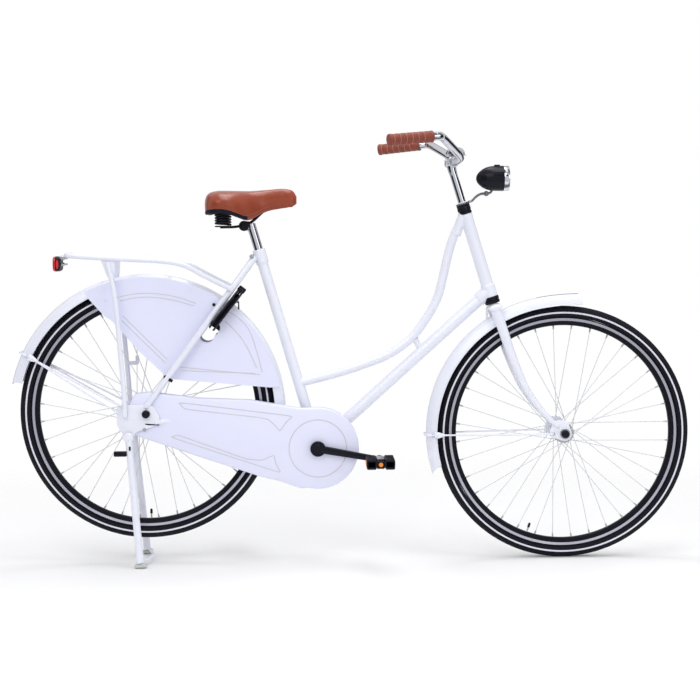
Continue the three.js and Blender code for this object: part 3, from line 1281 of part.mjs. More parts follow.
// Stand: two legs joined near the ground, turning on short pins in the dropout plates
function stand() {
  const footX = standPivot.x + STAND_FOOT_AHEAD;
  const legs = [-1, 1].map((side) => {
    const top = atSide(standPivot, side * STAND_TOP_OFFSET);
    const ankle = point(footX, side * STAND_FOOT_OFFSET, STAND_FOOT_HEIGHT);
    const leg = rod(ankle, top, STAND_LEG_RADIUS, 8);
    const eye = rod(atSide(top, side * (STAND_TOP_OFFSET - STAND_LEG_RADIUS)),
      atSide(top, side * (STAND_TOP_OFFSET + STAND_LEG_RADIUS)), STAND_LEG_RADIUS * 3 / 2, 10);
    const foot = block(point(footX, side * STAND_FOOT_OFFSET, STAND_FOOT_HEIGHT / 2),
      STAND_FOOT_LENGTH, STAND_LEG_RADIUS * 2, STAND_FOOT_HEIGHT);
    const pin = rod(atSide(top, side * (DROPOUT_OFFSET - DROPOUT_THICKNESS / 2)), top, STAND_PIN_RADIUS);
    return join(leg, eye, foot, pin);
  });
  const height = STAND_LINK_RISE;
  const link = tube([
    point(footX, -STAND_FOOT_OFFSET, height),
    point(footX + STAND_LINK_BOW / 2, -STAND_FOOT_OFFSET * 2 / 3, height),
    point(footX + STAND_LINK_BOW, 0, height),
    point(footX + STAND_LINK_BOW / 2, STAND_FOOT_OFFSET * 2 / 3, height),
    point(footX, STAND_FOOT_OFFSET, height),
  ], STAND_LINK_RADIUS, 8, 6);
  const leverSide = -STAND_TOP_OFFSET - STAND_LEG_RADIUS / 2;
  const leverPlace = standPivot.x - KICK_LEVER_LENGTH * 2 / 3;
  const leverCentre = point(leverPlace, leverSide, standPivot.z - KICK_LEVER_DROP);
  const lever = block(leverCentre, KICK_LEVER_LENGTH * 3 / 2, STAND_LEG_RADIUS * 2, KICK_LEVER_HEIGHT);
  return join(...legs, link, lever);
}

// Fork: crown with steerer, two blades with end plates
const crownTop = headBottomRise - LOWER_HEADSET_HEIGHT - GAP;
const crownMiddle = crownTop - GAP - FORK_CROWN_HEIGHT / 2;
const CROWN_RING_SHARES = [
  [-1, 0.6, -0.1], [-0.93, 0.95, -0.05], [-0.5, 1, 0], [0.5, 1, 0], [0.93, 0.95, -0.05], [1, 0.6, -0.1],
];

function crownBlock(growth = 0) {
  const sides = 10;
  const rings = CROWN_RING_SHARES.map(([place, size, drop]) => Array.from({ length: sides }, (unused, i) => {
    const angle = (2 * Math.PI * i) / sides;
    const ahead = (size * FORK_CROWN_DEPTH / 2 + growth) * Math.cos(angle);
    const rise = (size * FORK_CROWN_HEIGHT / 2 + growth) * Math.sin(angle) + drop * FORK_CROWN_HEIGHT;
    return steerPoint(crownMiddle + rise, ahead, place * (FORK_CROWN_HALF_WIDTH + growth));
  }));
  return loft(rings);
}

function forkCrown() {
  const top = headTopRise + STEERER_RISE;
  const bore = QUILL_RADIUS + GAP;
  const steerer = steererRod(STEERER_RADIUS, crownMiddle, top);
  const hole = steererRod(bore, headTopRise - QUILL_DEPTH * 2, top + OVERRUN, 16);
  return cut(join(crownBlock(), steerer), hole);
}

// Blade centres: rise share of the fork length, share of the rake, share of the side growth
const BLADE_SHARES = [
  [0.925, -0.02, 0], [0.777, 0.01, 0.2], [0.636, 0.03, 0.4], [0.483, 0.09, 0.6], [0.352, 0.19, 0.8],
  [0.21, 0.43, 0.95], [0.12, 0.66, 1], [0.062, 0.83, 1],
];
const FORK_END_SHARES = [
  [0.95, 0, 0.3], [0.9, 0, -0.45], [0.45, 0, -0.9], [-0.2, 0, -1], [-0.85, 0, -0.75], [-1, -0.5, -0.4],
  [0, -1, -0.1], [0, -1, 0.55], [0, -0.7, 1.9], [0.2, 0, 1.9],
];

function forkEndPlate(side) {
  const outline = FORK_END_SHARES.map(([ahead, tail, rise]) => point(
    frontAxle.x + ahead * FORK_END_RADIUS + tail * FORK_END_TAIL, 0, frontAxle.z + rise * FORK_END_RADIUS));
  const face = side * (FORK_BLADE_END_OFFSET - FORK_END_THICKNESS / 2);
  return plate(outline, face, face + side * FORK_END_THICKNESS);
}

function forkBlade(side) {
  const route = BLADE_SHARES.map(([rise, rake, spread]) => steerPoint(
    rise * FORK_LENGTH, rake * FORK_RAKE,
    side * (FORK_BLADE_TOP_OFFSET + (FORK_BLADE_END_OFFSET - FORK_BLADE_TOP_OFFSET) * spread)));
  const tip = FORK_BLADE_TIP;
  const blade = taperedTube(route, (share) => [
    FORK_BLADE_DEPTH + (tip - FORK_BLADE_DEPTH) * share, FORK_BLADE_WIDTH + (tip - FORK_BLADE_WIDTH) * share,
  ], 10);
  const hole = rod(frontAxle, atSide(frontAxle, side * FORK_BLADE_END_OFFSET * 2), AXLE_RADIUS + RUNNING_GAP);
  return cut(join(blade, forkEndPlate(side)), crownBlock(GAP), hole);
}

function headsetLower() {
  return ring(STEERER_RADIUS + RUNNING_GAP, LOWER_HEADSET_RADIUS, -LOWER_HEADSET_HEIGHT, -GAP,
    steerPoint(headBottomRise), steerUp);
}

function headsetUpper() {
  return ring(STEERER_RADIUS + RUNNING_GAP, UPPER_HEADSET_RADIUS, GAP, UPPER_HEADSET_HEIGHT,
    steerPoint(headTopRise), steerUp);
}

// Flat bar between two points seen from the side
function strap(from, to, width, thickness) {
  const line = to.clone().sub(from).normalize();
  const normal = point(-line.z, 0, line.x);
  const section = [[-width / 2, -thickness / 2], [width / 2, -thickness / 2],
    [width / 2, thickness / 2], [-width / 2, thickness / 2]];
  const rings = [from, to].map((end) => section.map(([side, rise]) => (
    moved(atSide(end, end.y + side), normal, rise))));
  return loft(rings, false, section);
}

// Head lamp on its bracket, clamped above the upper cup
const LAMP_PROFILE_SHARES = [
  [0, 0], [0.3, 0.03], [0.58, 0.13], [0.8, 0.3], [0.9, 0.5], [0.93, 0.83], [1, 0.84], [1, 1],
  [0.88, 1], [0.5, 0.98], [0, 0.96],
];

function headlight() {
  const head = steerPoint(headTopRise);
  const nose = point(head.x + HEADLIGHT_AHEAD, 0, head.z + HEADLIGHT_RISE);
  const profile = LAMP_PROFILE_SHARES.map(([size, place]) => (
    [size * HEADLIGHT_RADIUS, place * HEADLIGHT_LENGTH]));
  const lamp = turned(profile, nose, FORWARD, 14);
  const low = UPPER_HEADSET_HEIGHT + GAP;
  const collar = ring(STEERER_RADIUS + RUNNING_GAP, UPPER_HEADSET_RADIUS, low, low + HEADLIGHT_BRACKET_WALL,
    head, steerUp);
  const half = HEADLIGHT_BRACKET_WALL / 2;
  const start = steerPoint(headTopRise + low + half, UPPER_HEADSET_RADIUS - half);
  const end = moved(moved(nose, FORWARD, HEADLIGHT_LENGTH / 2), UP, -HEADLIGHT_RADIUS * 3 / 4);
  return join(lamp, collar, strap(start, end, HEADLIGHT_BRACKET_WIDTH, HEADLIGHT_BRACKET_WALL));
}

// Stem, handlebar and grips
const clampCentre = steerPoint(CLAMP_RISE, CLAMP_AHEAD);

function stem() {
  const quill = steererRod(QUILL_RADIUS, headTopRise - QUILL_DEPTH, CLAMP_RISE, 16);
  const half = CLAMP_WIDTH / 2;
  const clamp = rod(atSide(clampCentre, -half), atSide(clampCentre, half), CLAMP_RADIUS, 14);
  const reach = half + OVERRUN;
  const hole = rod(atSide(clampCentre, -reach), atSide(clampCentre, reach), BAR_RADIUS + GAP * 2, 12);
  return cut(join(quill, clamp), hole);
}

// Bar points behind the clamp, above it and to the side, as shares of sweep, rise and half width
const BAR_SHARES = [
  [0, 0, 0.03], [0, 0, 0.092], [-0.02, 0.03, 0.16], [-0.075, 0.3, 0.35], [0.02, 0.63, 0.53],
  [0.13, 0.92, 0.69], [0.28, 0.985, 0.82],
];

function barPoint(back, rise, side) {
  return point(clampCentre.x - back * BAR_SWEEP, side * BAR_HALF_WIDTH, clampCentre.z + rise * BAR_RISE);
}

const GRIP_END_SHARES = [1, 0.77, 1];

function gripLine(side) {
  const [back, rise, width] = BAR_SHARES[BAR_SHARES.length - 1];
  const start = barPoint(back, rise, side * width);
  const end = barPoint(GRIP_END_SHARES[0], GRIP_END_SHARES[1], side * GRIP_END_SHARES[2]);
  return [start, end, end.clone().sub(start).normalize()];
}

function barHalf(side) {
  const [start, end, direction] = gripLine(side);
  const route = BAR_SHARES.map(([back, rise, width]) => barPoint(back, rise, side * width));
  const tip = moved(end, direction, -GRIP_RADIUS / 4 - GAP);
  return [...route, along(start, tip, 1 / 10), along(start, tip, 1 / 2), tip];
}

function handlebar(growth = 0) {
  return tube([...barHalf(-1).reverse(), ...barHalf(1)], BAR_RADIUS + growth, 34, 8);
}

const GRIP_PROFILE_SHARES = [
  [0.9, 0], [0.98, 0.04], [0.9, 0.1], [0.98, 0.3], [0.94, 0.6], [1, 0.9], [0.8, 1],
];

function grip(side) {
  const [, end, direction] = gripLine(side);
  const bore = BAR_RADIUS + RUNNING_GAP;
  const profile = GRIP_PROFILE_SHARES.map(([size, place]) => [size * GRIP_RADIUS, place * GRIP_LENGTH]);
  const floor = GRIP_LENGTH - GRIP_RADIUS / 4;
  return turned([[bore, 0], ...profile, [0, GRIP_LENGTH], [0, floor], [bore, floor]],
    moved(end, direction, -GRIP_LENGTH), direction, 10);
}

// Bell on the left of the bar
function bellCentre() {
  const half = new THREE.CatmullRomCurve3(BAR_SHARES.map(([back, rise, width]) => (
    barPoint(back, rise, width))), false, 'centripetal');
  const share = BELL_PLACE / BAR_HALF_WIDTH;
  return half.getPointAt(share);
}

const BELL_PROFILE_SHARES = [[0, 0], [1, 0], [1, 0.15], [0.93, 0.5], [0.7, 0.82], [0.35, 0.97], [0, 1]];

function bell() {
  const centre = bellCentre();
  const base = moved(centre, UP, BAR_RADIUS + BELL_LEVER_THICKNESS * 2);
  const dome = turned(BELL_PROFILE_SHARES.map(([size, place]) => [size * BELL_RADIUS, place * BELL_HEIGHT]),
    base, UP, 14);
  const post = rod(centre, moved(base, UP, BELL_HEIGHT / 4), BELL_POST_RADIUS, 8);
  const half = BELL_POST_RADIUS * 3 / 2;
  const clamp = rod(atSide(centre, centre.y - half), atSide(centre, centre.y + half),
    BAR_RADIUS + LUG_WALL, 10);
  return cut(join(dome, post, clamp), handlebar(GAP));
}

function bellLever() {
  const centre = bellCentre();
  const low = BAR_RADIUS + BELL_LEVER_THICKNESS * 3 / 2 - GAP;
  const start = BELL_POST_RADIUS + GAP;
  const place = moved(moved(centre, FORWARD, start + BELL_LEVER_LENGTH / 2), UP, low);
  return block(place, BELL_LEVER_LENGTH, BELL_LEVER_WIDTH, BELL_LEVER_THICKNESS - GAP);
}

// Seat post with its head
const seatClampRise = SEAT_TUBE_LENGTH + POST_REACH;
const seatClamp = seatPoint(seatClampRise, -SEAT_CLAMP_BACK);

function seatpost() {
  const post = seatTubeRod(POST_RADIUS, SEAT_TUBE_LENGTH - POST_DEPTH, seatClampRise, 16);
  const half = SEAT_CLAMP_WIDTH / 4;
  return join(post, rod(atSide(seatClamp, -half), atSide(seatClamp, half), SEAT_CLAMP_RADIUS, 16));
}

// Saddle rows: place along the length, half width, top, edge and hollow underneath
const SADDLE_SHARES = [
  [0, 0.34, 0.64, 0.36, 0.1], [0.018, 0.62, 0.79, 0.25, 0.1], [0.06, 0.86, 0.89, 0.22, 0],
  [0.14, 1, 0.94, 0.22, 0], [0.22, 1, 0.945, 0.22, 0], [0.29, 0.95, 0.94, 0.22, 0],
  [0.37, 0.84, 0.935, 0.19, 0.5], [0.45, 0.66, 0.93, 0.1, 1], [0.53, 0.48, 0.935, 0.02, 1],
  [0.6, 0.365, 0.95, 0.14, 1], [0.68, 0.295, 0.965, 0.27, 1], [0.8, 0.24, 1, 0.34, 1],
  [0.9, 0.215, 0.985, 0.38, 0.8], [0.965, 0.17, 0.91, 0.43, 0.4], [1, 0.09, 0.74, 0.52, 0.1],
];
const SADDLE_SECTION_SHARES = [
  [0, 1], [0.34, 0.985], [0.66, 0.91], [0.88, 0.74], [1, 0.46], [0.97, 0.16], [0.86, 0],
];
const SADDLE_HOLLOW_SHARES = [[0.7, 0.8], [0.38, 1], [0, 1]];
const seatTop = seatPoint(SEAT_TUBE_LENGTH);
const saddleBase = seatTop.z + SADDLE_RISE;
const saddleRear = seatTop.x - SADDLE_BACK;
const SADDLE_FLAT_SHARE = 0.22;

function saddle() {
  const rings = SADDLE_SHARES.map(([place, width, top, edge, hollow]) => {
    const x = saddleRear + place * SADDLE_LENGTH;
    const half = width * SADDLE_WIDTH / 2;
    const low = saddleBase + edge * SADDLE_HEIGHT;
    const high = saddleBase + top * SADDLE_HEIGHT;
    const outside = SADDLE_SECTION_SHARES.map(([side, rise]) => [side * half, low + (high - low) * rise]);
    const dish = SADDLE_DISH * hollow;
    const under = SADDLE_HOLLOW_SHARES.map(([side, rise]) => [side * half, low + dish * rise]);
    const right = [...outside, ...under];
    const left = right.slice(1, -1).reverse().map(([side, rise]) => [-side, rise]);
    return [...right, ...left].map(([side, rise]) => point(x, side, rise));
  });
  const outline = [...SADDLE_SECTION_SHARES, ...SADDLE_HOLLOW_SHARES.map(([side, rise]) => [side, rise / 4])];
  const mirrored = outline.slice(1, -1).reverse().map(([side, rise]) => [-side, rise]);
  return loft(rings, false, [...outline, ...mirrored]);
}

// Saddle frame: clamp cheeks, rail loop and the plates under the springs
const springTop = saddleBase + SADDLE_FLAT_SHARE * SADDLE_HEIGHT - GAP;
const springFoot = springTop - SPRING_HEIGHT;
const springX = saddleRear + SPRING_BACK;
const RAIL_SHARES = [[0, 1, 0], [0.16, 0.66, 0.02], [0.3, 0.36, 0.16], [0.49, 0.33, 0.42], [0.75, 0.22, 0.76],
  [0.93, 0.14, 0.98], [1, 0, 1.04]];

function saddleFrame() {
  const plateMiddle = springFoot - GAP * 2 - RAIL_RADIUS;
  const railLength = SADDLE_LENGTH - SPRING_BACK - RAIL_RADIUS * 4;
  const half = RAIL_SHARES.map(([place, side, rise]) => point(
    springX + place * railLength, side * SPRING_SPREAD, plateMiddle + rise * RAIL_RISE));
  const mirrored = half.slice(0, -1).reverse().map((p) => atSide(p, -p.y));
  const rail = tube([...half, ...mirrored], RAIL_RADIUS, 24, 5);
  const plates = [-1, 1].map((side) => rod(
    point(springX, side * SPRING_SPREAD, springFoot - GAP - SPRING_PLATE_WALL),
    point(springX, side * SPRING_SPREAD, springFoot - GAP), SPRING_RADIUS, 8));
  const cheeks = [-1, 1].map((side) => rod(
    atSide(seatClamp, side * (SEAT_CLAMP_WIDTH / 4 + GAP)), atSide(seatClamp, side * SEAT_CLAMP_WIDTH / 2),
    SEAT_CLAMP_RADIUS, 8));
  return join(rail, ...plates, ...cheeks);
}

// Coil spring as one unbroken wire, with its least gap to itself
function coil(centre) {
  const steps = 8 * SPRING_TURNS;
  const wire = SPRING_WIRE / 2;
  const radius = SPRING_RADIUS - wire;
  const low = springFoot + wire;
  const rise = SPRING_HEIGHT - SPRING_WIRE;
  const centres = Array.from({ length: steps + 1 }, (unused, i) => {
    const angle = (2 * Math.PI * i) / 8;
    const x = centre.x + radius * Math.cos(angle);
    return point(x, centre.y + radius * Math.sin(angle), low + (rise * i) / steps);
  });
  const rings = centres.map((c, i) => {
    const angle = (2 * Math.PI * i) / 8;
    const out = point(Math.cos(angle), Math.sin(angle), 0);
    return Array.from({ length: 5 }, (unused, j) => {
      const turn = (2 * Math.PI * j) / 5;
      return moved(moved(c, out, wire * Math.cos(turn)), UP, wire * Math.sin(turn));
    });
  });
  let least = Infinity;
  centres.forEach((a, i) => centres.slice(i + 5).forEach((b) => {
    least = Math.min(least, a.distanceTo(b) - SPRING_WIRE);
  }));
  console.log(`saddle spring, least gap to itself ${least.toFixed(2)} mm`);
  return loft(rings);
}

// The whole bicycle
const wheelAt = (centre) => {
  const hub = new THREE.Group();
  hub.position.copy(centre);
  model.add(hub);
  return hub;
};
const frontWheel = wheelAt(frontAxle);
const rearWheel = wheelAt(rearAxle);
const chainringPlace = wheelAt(crankCentre);

piece('head_tube', headTube(), PAINT);
piece('top_tube', topTube(), PAINT);
piece('down_tube', downTube(), PAINT);
piece('seat_tube', seatTube(), PAINT);
piece('bottom_bracket_shell', bracketShell(), PAINT);
piece('chain_stay_right', chainStay(-1), PAINT);
piece('chain_stay_left', chainStay(1), PAINT);
piece('seat_stay_right', seatStay(-1), PAINT);
piece('seat_stay_left', seatStay(1), PAINT);
piece('headset_upper', headsetUpper(), BLACK_METAL);
piece('headset_lower', headsetLower(), BLACK_METAL);
piece('rear_rack', rearRack(), PAINT);
piece('rack_leg_right', rackLeg(-1), PAINT);
piece('rack_leg_left', rackLeg(1), PAINT);
piece('rear_light', rearLight(), RED_GLASS);
piece('rear_mudguard', rearMudguard(), PAINT);
piece('rear_mudguard_stays', rearMudguardStays(), CHROME);
piece('coat_guard_right', coatGuard(-1), PAINT);
piece('coat_guard_left', coatGuard(1), PAINT);
piece('ring_lock', ringLock(), BLACK_PLASTIC);
piece('ring_lock_shackle', ringLockShackle(), STEEL);
piece('chaincase', chaincase(), PAINT);
piece('chaincase_back', chaincaseBack(), PAINT);
piece('chain', chain(), STEEL);
piece('rear_axle', rearAxleBar(), STEEL);
piece('brake_arm', brakeArm(), STEEL);
piece('stand', stand(), PAINT);
piece('rear_hub', rearHub(), STEEL, rearWheel);
piece('rear_spokes', spokes(REAR_HUB_FLANGE_RADIUS, REAR_HUB_FLANGE_OFFSET), STEEL, rearWheel);
piece('rear_rim', rim(), BLACK_METAL, rearWheel);
piece('rear_tyre', tyre(), TYRE_RUBBER, rearWheel);
piece('rear_sprocket', rearSprocket(), STEEL, rearWheel);
piece('chainring', chainring(), STEEL, chainringPlace);
piece('crank_axle', crankAxle(), STEEL);
piece('crank_right', crank(-1), BLACK_METAL);
piece('crank_left', crank(1), BLACK_METAL);
piece('pedal_right', pedal(-1), BLACK_PLASTIC);
piece('pedal_left', pedal(1), BLACK_PLASTIC);
piece('fork_crown', forkCrown(), PAINT);
piece('fork_blade_right', forkBlade(-1), PAINT);
piece('fork_blade_left', forkBlade(1), PAINT);
piece('front_axle', frontAxleBar(), STEEL);
piece('front_hub', frontHub(), STEEL, frontWheel);
piece('front_spokes', spokes(HUB_FLANGE_RADIUS, FRONT_HUB_FLANGE_OFFSET), STEEL, frontWheel);
piece('front_rim', rim(), BLACK_METAL, frontWheel);
piece('front_tyre', tyre(), TYRE_RUBBER, frontWheel);
piece('front_mudguard', frontMudguard(), PAINT);
piece('front_mudguard_stays', frontMudguardStays(), CHROME);
piece('headlight', headlight(), BLACK_PLASTIC);
piece('stem', stem(), CHROME);
piece('handlebar', handlebar(), CHROME);
piece('grip_right', grip(-1), LEATHER);
piece('grip_left', grip(1), LEATHER);
piece('bell', bell(), BLACK_METAL);
piece('bell_lever', bellLever(), BLACK_METAL);
piece('seatpost', seatpost(), CHROME);
piece('saddle_frame', saddleFrame(), BLACK_METAL);
piece('saddle', saddle(), LEATHER);
piece('saddle_spring_right', coil(point(springX, -SPRING_SPREAD, 0)), BLACK_METAL);
piece('saddle_spring_left', coil(point(springX, SPRING_SPREAD, 0)), BLACK_METAL);

// The origin goes to the middle of the footprint, on the ground
const bounds = new THREE.Box3().setFromObject(model);
const footprint = bounds.getCenter(point(0, 0, 0));
model.position.set(-footprint.x, -footprint.y, -bounds.min.z);
model.updateMatrixWorld(true);

export default model;
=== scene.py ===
"""Looks of the white city bike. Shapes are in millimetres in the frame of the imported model."""
import math

import bpy
import bmesh
from mathutils import Matrix, Vector


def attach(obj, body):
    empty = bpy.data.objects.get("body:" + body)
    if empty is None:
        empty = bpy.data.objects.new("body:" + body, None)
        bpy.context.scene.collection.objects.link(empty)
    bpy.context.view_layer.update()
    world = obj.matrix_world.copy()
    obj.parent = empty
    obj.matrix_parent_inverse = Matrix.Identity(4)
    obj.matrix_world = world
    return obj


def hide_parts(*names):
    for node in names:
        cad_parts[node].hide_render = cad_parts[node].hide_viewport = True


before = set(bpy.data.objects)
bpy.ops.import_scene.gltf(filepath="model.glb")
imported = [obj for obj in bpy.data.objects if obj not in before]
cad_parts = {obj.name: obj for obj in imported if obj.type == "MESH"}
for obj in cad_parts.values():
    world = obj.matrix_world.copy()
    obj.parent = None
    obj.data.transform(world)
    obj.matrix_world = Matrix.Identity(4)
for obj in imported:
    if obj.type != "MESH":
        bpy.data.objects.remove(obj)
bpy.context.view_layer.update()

MM = 0.001
X = Vector((1, 0, 0))
Y = Vector((0, 1, 0))
Z = Vector((0, 0, 1))
FRONT = Vector((584.85, 0, 351))
REAR = Vector((-564.15, 0, 418))
CRANK = Vector((-96.15, 0, 318))
STEER_FOOT = Vector((508.34, 0, 327.61))
STEER_UP = Vector((-0.292372, 0, 0.956305))
STEER_AHEAD = Vector((0.956305, 0, 0.292372))
SEAT_UP = Vector((-0.27966, 0, 0.9601))
SEAT_AHEAD = Vector((0.9601, 0, 0.27966))
VALVE_ANGLES = (250.6, 271)
SIDES = (-1, 1)
HANDS = (("right", -1), ("left", 1))
HEAD_LOW = 418.7
HEAD_HIGH = 658.2
CROWN = HEAD_LOW - 29.7
TOP_TUBE = [
    (322.3, 936), (296.1, 921.6), (279.1, 885), (262.1, 825), (251.3, 776.2), (235.2, 721.7), (202.9, 664.8),
    (169.8, 620.9), (134, 591.1), (92, 566.1), (49.7, 549.8), (-5.1, 530.9), (-61.1, 515), (-147.3, 493.7)]
CASE_OUTLINE = [
    (-125.4, 208.9), (-96.9, 205), (-68.3, 208.5), (-41.5, 219.1), (-18.3, 236.1), (-0.1, 258.5), (11.8, 284.7),
    (16.7, 313.1), (14.3, 341.8), (4.7, 368.9), (-11.4, 392.8), (-33.1, 411.8), (-58.8, 424.7), (-87, 430.6),
    (-115.8, 429.3), (-144.4, 429.1), (-281.2, 453), (-418.4, 459.1), (-554, 477), (-594, 472.9), (-613.7, 442.5),
    (-622.7, 400.5), (-607, 362), (-556.3, 345), (-420.2, 297), (-324.3, 265.1), (-261, 243), (-201, 228),
    (-146.1, 208)]
CHAIN_STAY = [(-106.4, 31, 320.2), (-149.9, 31.3, 329.5), (-203.7, 32.5, 341), (-377, 41.5, 378),
              (-508.3, 52, 396.9), (-539.1, 61, 394.2)]
SEAT_STAY = [(-266.5, 23, 840.2), (-299.2, 37.5, 795.8), (-332, 47, 751.4), (-415.3, 56, 638.5), (-564.2, 61, 436.8)]
FORK_BLADE = [(393.6, 41, 697.5), (414, 42.8, 639), (432.8, 44.6, 583), (456.1, 46.4, 523.1), (479.8, 48.2, 473),
              (515.5, 49.5, 421.8), (544.1, 50, 391.1), (564.3, 50, 371.8)]
DROPOUT = [
    (-526.2, 405.5), (-535.5, 386.7), (-593.4, 368), (-603.2, 345), (-612.2, 341.5), (-621.2, 345), (-630.9, 368),
    (-644.2, 386.7), (-644.2, 433.6), (-634.8, 443), (-544.9, 443)]
FORK_END = [
    (603.8, 357), (602.8, 342), (593.8, 333), (580.8, 331), (567.8, 336), (543.8, 343), (542.8, 349), (542.8, 362),
    (555.4, 389), (588.8, 389)]
SADDLE_ROWS = [
    (0, 0.34, 0.64, 0.34, 0.1), (0.018, 0.62, 0.79, 0.22, 0.1), (0.06, 0.86, 0.89, 0.22, 0),
    (0.14, 1, 0.94, 0.24, 0), (0.22, 1, 0.945, 0.22, 0), (0.29, 0.95, 0.94, 0.16, 0.2),
    (0.37, 0.84, 0.935, 0.05, 0.6), (0.44, 0.68, 0.93, -0.04, 1), (0.5, 0.54, 0.93, -0.01, 1),
    (0.56, 0.43, 0.94, 0.08, 1), (0.63, 0.335, 0.955, 0.2, 1), (0.72, 0.275, 0.975, 0.29, 1),
    (0.82, 0.235, 1, 0.34, 1), (0.9, 0.215, 0.985, 0.38, 0.8), (0.965, 0.17, 0.91, 0.43, 0.4),
    (1, 0.09, 0.74, 0.52, 0.1)]
SADDLE_SECTION = [(0, 1), (0.34, 0.985), (0.66, 0.91), (0.88, 0.74), (1, 0.46), (0.97, 0.16), (0.86, 0)]
SADDLE_HOLLOW = [(0.7, 0.8), (0.38, 1), (0, 1)]


def at(place, side):
    return Vector((place[0], side, place[-1]))


def on_side(route, side):
    """Route of (x, y, z) given for the left, on the left or right."""
    return [(x, side * y, z) for x, y, z in route]


def steer(rise, ahead=0, side=0):
    return STEER_FOOT + STEER_UP * rise + STEER_AHEAD * ahead + Y * side


def seat(rise, ahead=0, side=0):
    return CRANK + SEAT_UP * rise + SEAT_AHEAD * ahead + Y * side


def polar(centre, radius, angle, side=0):
    turn = math.radians(angle)
    return Vector((centre.x + radius * math.cos(turn), side, centre.z + radius * math.sin(turn)))


# Materials
def node_maker(owner):
    """Empties the nodes of a material or world and gives a function that adds one node and returns its output.

    A setting is a property of the node, an input's number or colour, or the socket to link to the input.
    """
    owner.use_nodes = True
    tree = owner.node_tree
    tree.nodes.clear()

    def make(kind, out=None, **settings):
        node = tree.nodes.new("ShaderNode" + kind)
        for key, value in settings.items():
            if hasattr(node, key):
                setattr(node, key, value)
                continue
            socket = node.inputs[int(key[-1]) if key.startswith("input_") else key.replace("_", " ")]
            if isinstance(value, bpy.types.NodeSocket):
                tree.links.new(value, socket)
            else:
                socket.default_value = value
        return node.outputs[out] if out else next((s for s in node.outputs if s.enabled), None)
    return make


def ramp(make, factor, stops):
    """Colour ramp through stops of (place, colour)."""
    result = make("ValToRGB", Fac=factor)
    elements = result.node.color_ramp.elements
    elements[0].position, elements[1].position = stops[0][0], stops[-1][0]
    for place, _ in stops[1:-1]:
        elements.new(place)
    for element, (_, colour) in zip(elements, stops):
        element.color = (*colour, 1)
    return result


def surface(name, colour, second, rough, spread=0.08, metal=0.0, coat=0.0, grain=900.0, bump=0.05, patch=14.0,
            worn=None, wear=0.0, cells=0.0, brushed=None, sheen=0.0, shine=0.5, painted_reflection=0.0, coat_rough=0.06):
    """A finish with colour patches, a fine grain, uneven sheen, small worn specks and, if asked, painted reflections.
    """
    material = bpy.data.materials.new(name)
    make = node_maker(material)
    place = make("TexCoord", "Object")
    large = make("TexNoise", Vector=place, Scale=patch, Detail=4.0, Roughness=0.55)
    specks = make("TexNoise", Vector=place, Scale=patch * 9, Detail=6.0, Roughness=0.7)
    along = make("Mapping", Vector=place, Scale=brushed) if brushed else place
    height = make("TexNoise", Vector=along, Scale=grain, Detail=3.0, Roughness=0.6)
    if cells:
        pores = make("TexVoronoi", feature="DISTANCE_TO_EDGE", Vector=place, Scale=cells)
        height = make("Math", operation="ADD", input_0=pores, input_1=height)
    tint = make("Mix", data_type="RGBA", Factor=large, A=(*colour, 1), B=(*second, 1))
    marks = ramp(make, specks, ((0.62, (0, 0, 0)), (0.74, (wear, wear, wear))))
    base = make("Mix", data_type="RGBA", Factor=marks, A=tint, B=(*(worn or second), 1))
    # Painted reflection: Layer Weight's Facing darkens the base colour in bands, standing in for dark surroundings
    # seen in the metal, so the bands move with the view
    if painted_reflection:
        reflection_dark = (1 - painted_reflection,) * 3
        reflection_bands = ramp(make, make("LayerWeight", "Facing", Blend=0.5), (
            (0, (1, 1, 1)), (0.08, (1, 1, 1)), (0.17, reflection_dark), (0.3, reflection_dark), (0.42, (1, 1, 1)), (1, (0.75, 0.75, 0.78))))
        base = make("Mix", data_type="RGBA", blend_type="MULTIPLY", Factor=1.0, A=base, B=reflection_bands)
    gloss = make("MapRange", Value=large, To_Min=max(0.02, rough - spread), To_Max=min(1.0, rough + spread))
    relief = make("Bump", Height=height, Strength=bump, Distance=0.0008)
    shader = make("BsdfPrincipled", Base_Color=base, Roughness=gloss, Normal=relief, Metallic=metal,
                  Coat_Weight=coat, Coat_Roughness=coat_rough, Sheen_Weight=sheen, Specular_IOR_Level=shine)
    make("OutputMaterial", Surface=shader)
    return material


PAINT = surface("paint", (0.80, 0.82, 0.90), (0.77, 0.79, 0.885), 0.28, 0.05, coat=0.35, grain=60, bump=0.003,
                worn=(0.70, 0.71, 0.79), wear=0.07)
SKIRT = surface("skirt", (0.755, 0.77, 0.93), (0.725, 0.74, 0.92), 0.36, 0.06, coat=0.12, grain=80, bump=0.006,
                worn=(0.64, 0.65, 0.80), wear=0.08)
# Grey of the raised lines on the chaincase and coat guards: painted shade along the embossed ribs, not a colour of
# the paint
RIB_SHADE = surface("rib_shade", (0.60, 0.60, 0.63), (0.54, 0.54, 0.57), 0.5, grain=700, bump=0.05)
RUBBER = surface("rubber", (0.006, 0.006, 0.011), (0.011, 0.011, 0.016), 0.75, 0.1, grain=1400, bump=0.3,
                 worn=(0.035, 0.033, 0.035), wear=0.3, shine=0.12)
STRIPE = surface("stripe", (0.74, 0.74, 0.82), (0.66, 0.66, 0.74), 0.35, grain=1800, bump=0.15,
                 worn=(0.4, 0.4, 0.42), wear=0.4)
BLACK = surface("black_paint", (0.006, 0.006, 0.011), (0.011, 0.011, 0.017), 0.24, 0.1, coat=0.1, grain=300,
                bump=0.02, worn=(0.04, 0.04, 0.045), wear=0.25, shine=0.08)
RIM = surface("rim_paint", (0.004, 0.004, 0.008), (0.008, 0.008, 0.013), 0.4, 0.1, grain=500, bump=0.04,
              worn=(0.04, 0.04, 0.045), wear=0.3, shine=0.1)
BAND = surface("machined_band", (0.56, 0.56, 0.64), (0.44, 0.44, 0.52), 0.3, 0.1, metal=0.9, grain=300, bump=0.12,
               brushed=(1.0, 60.0, 1.0), worn=(0.3, 0.3, 0.33), wear=0.4)
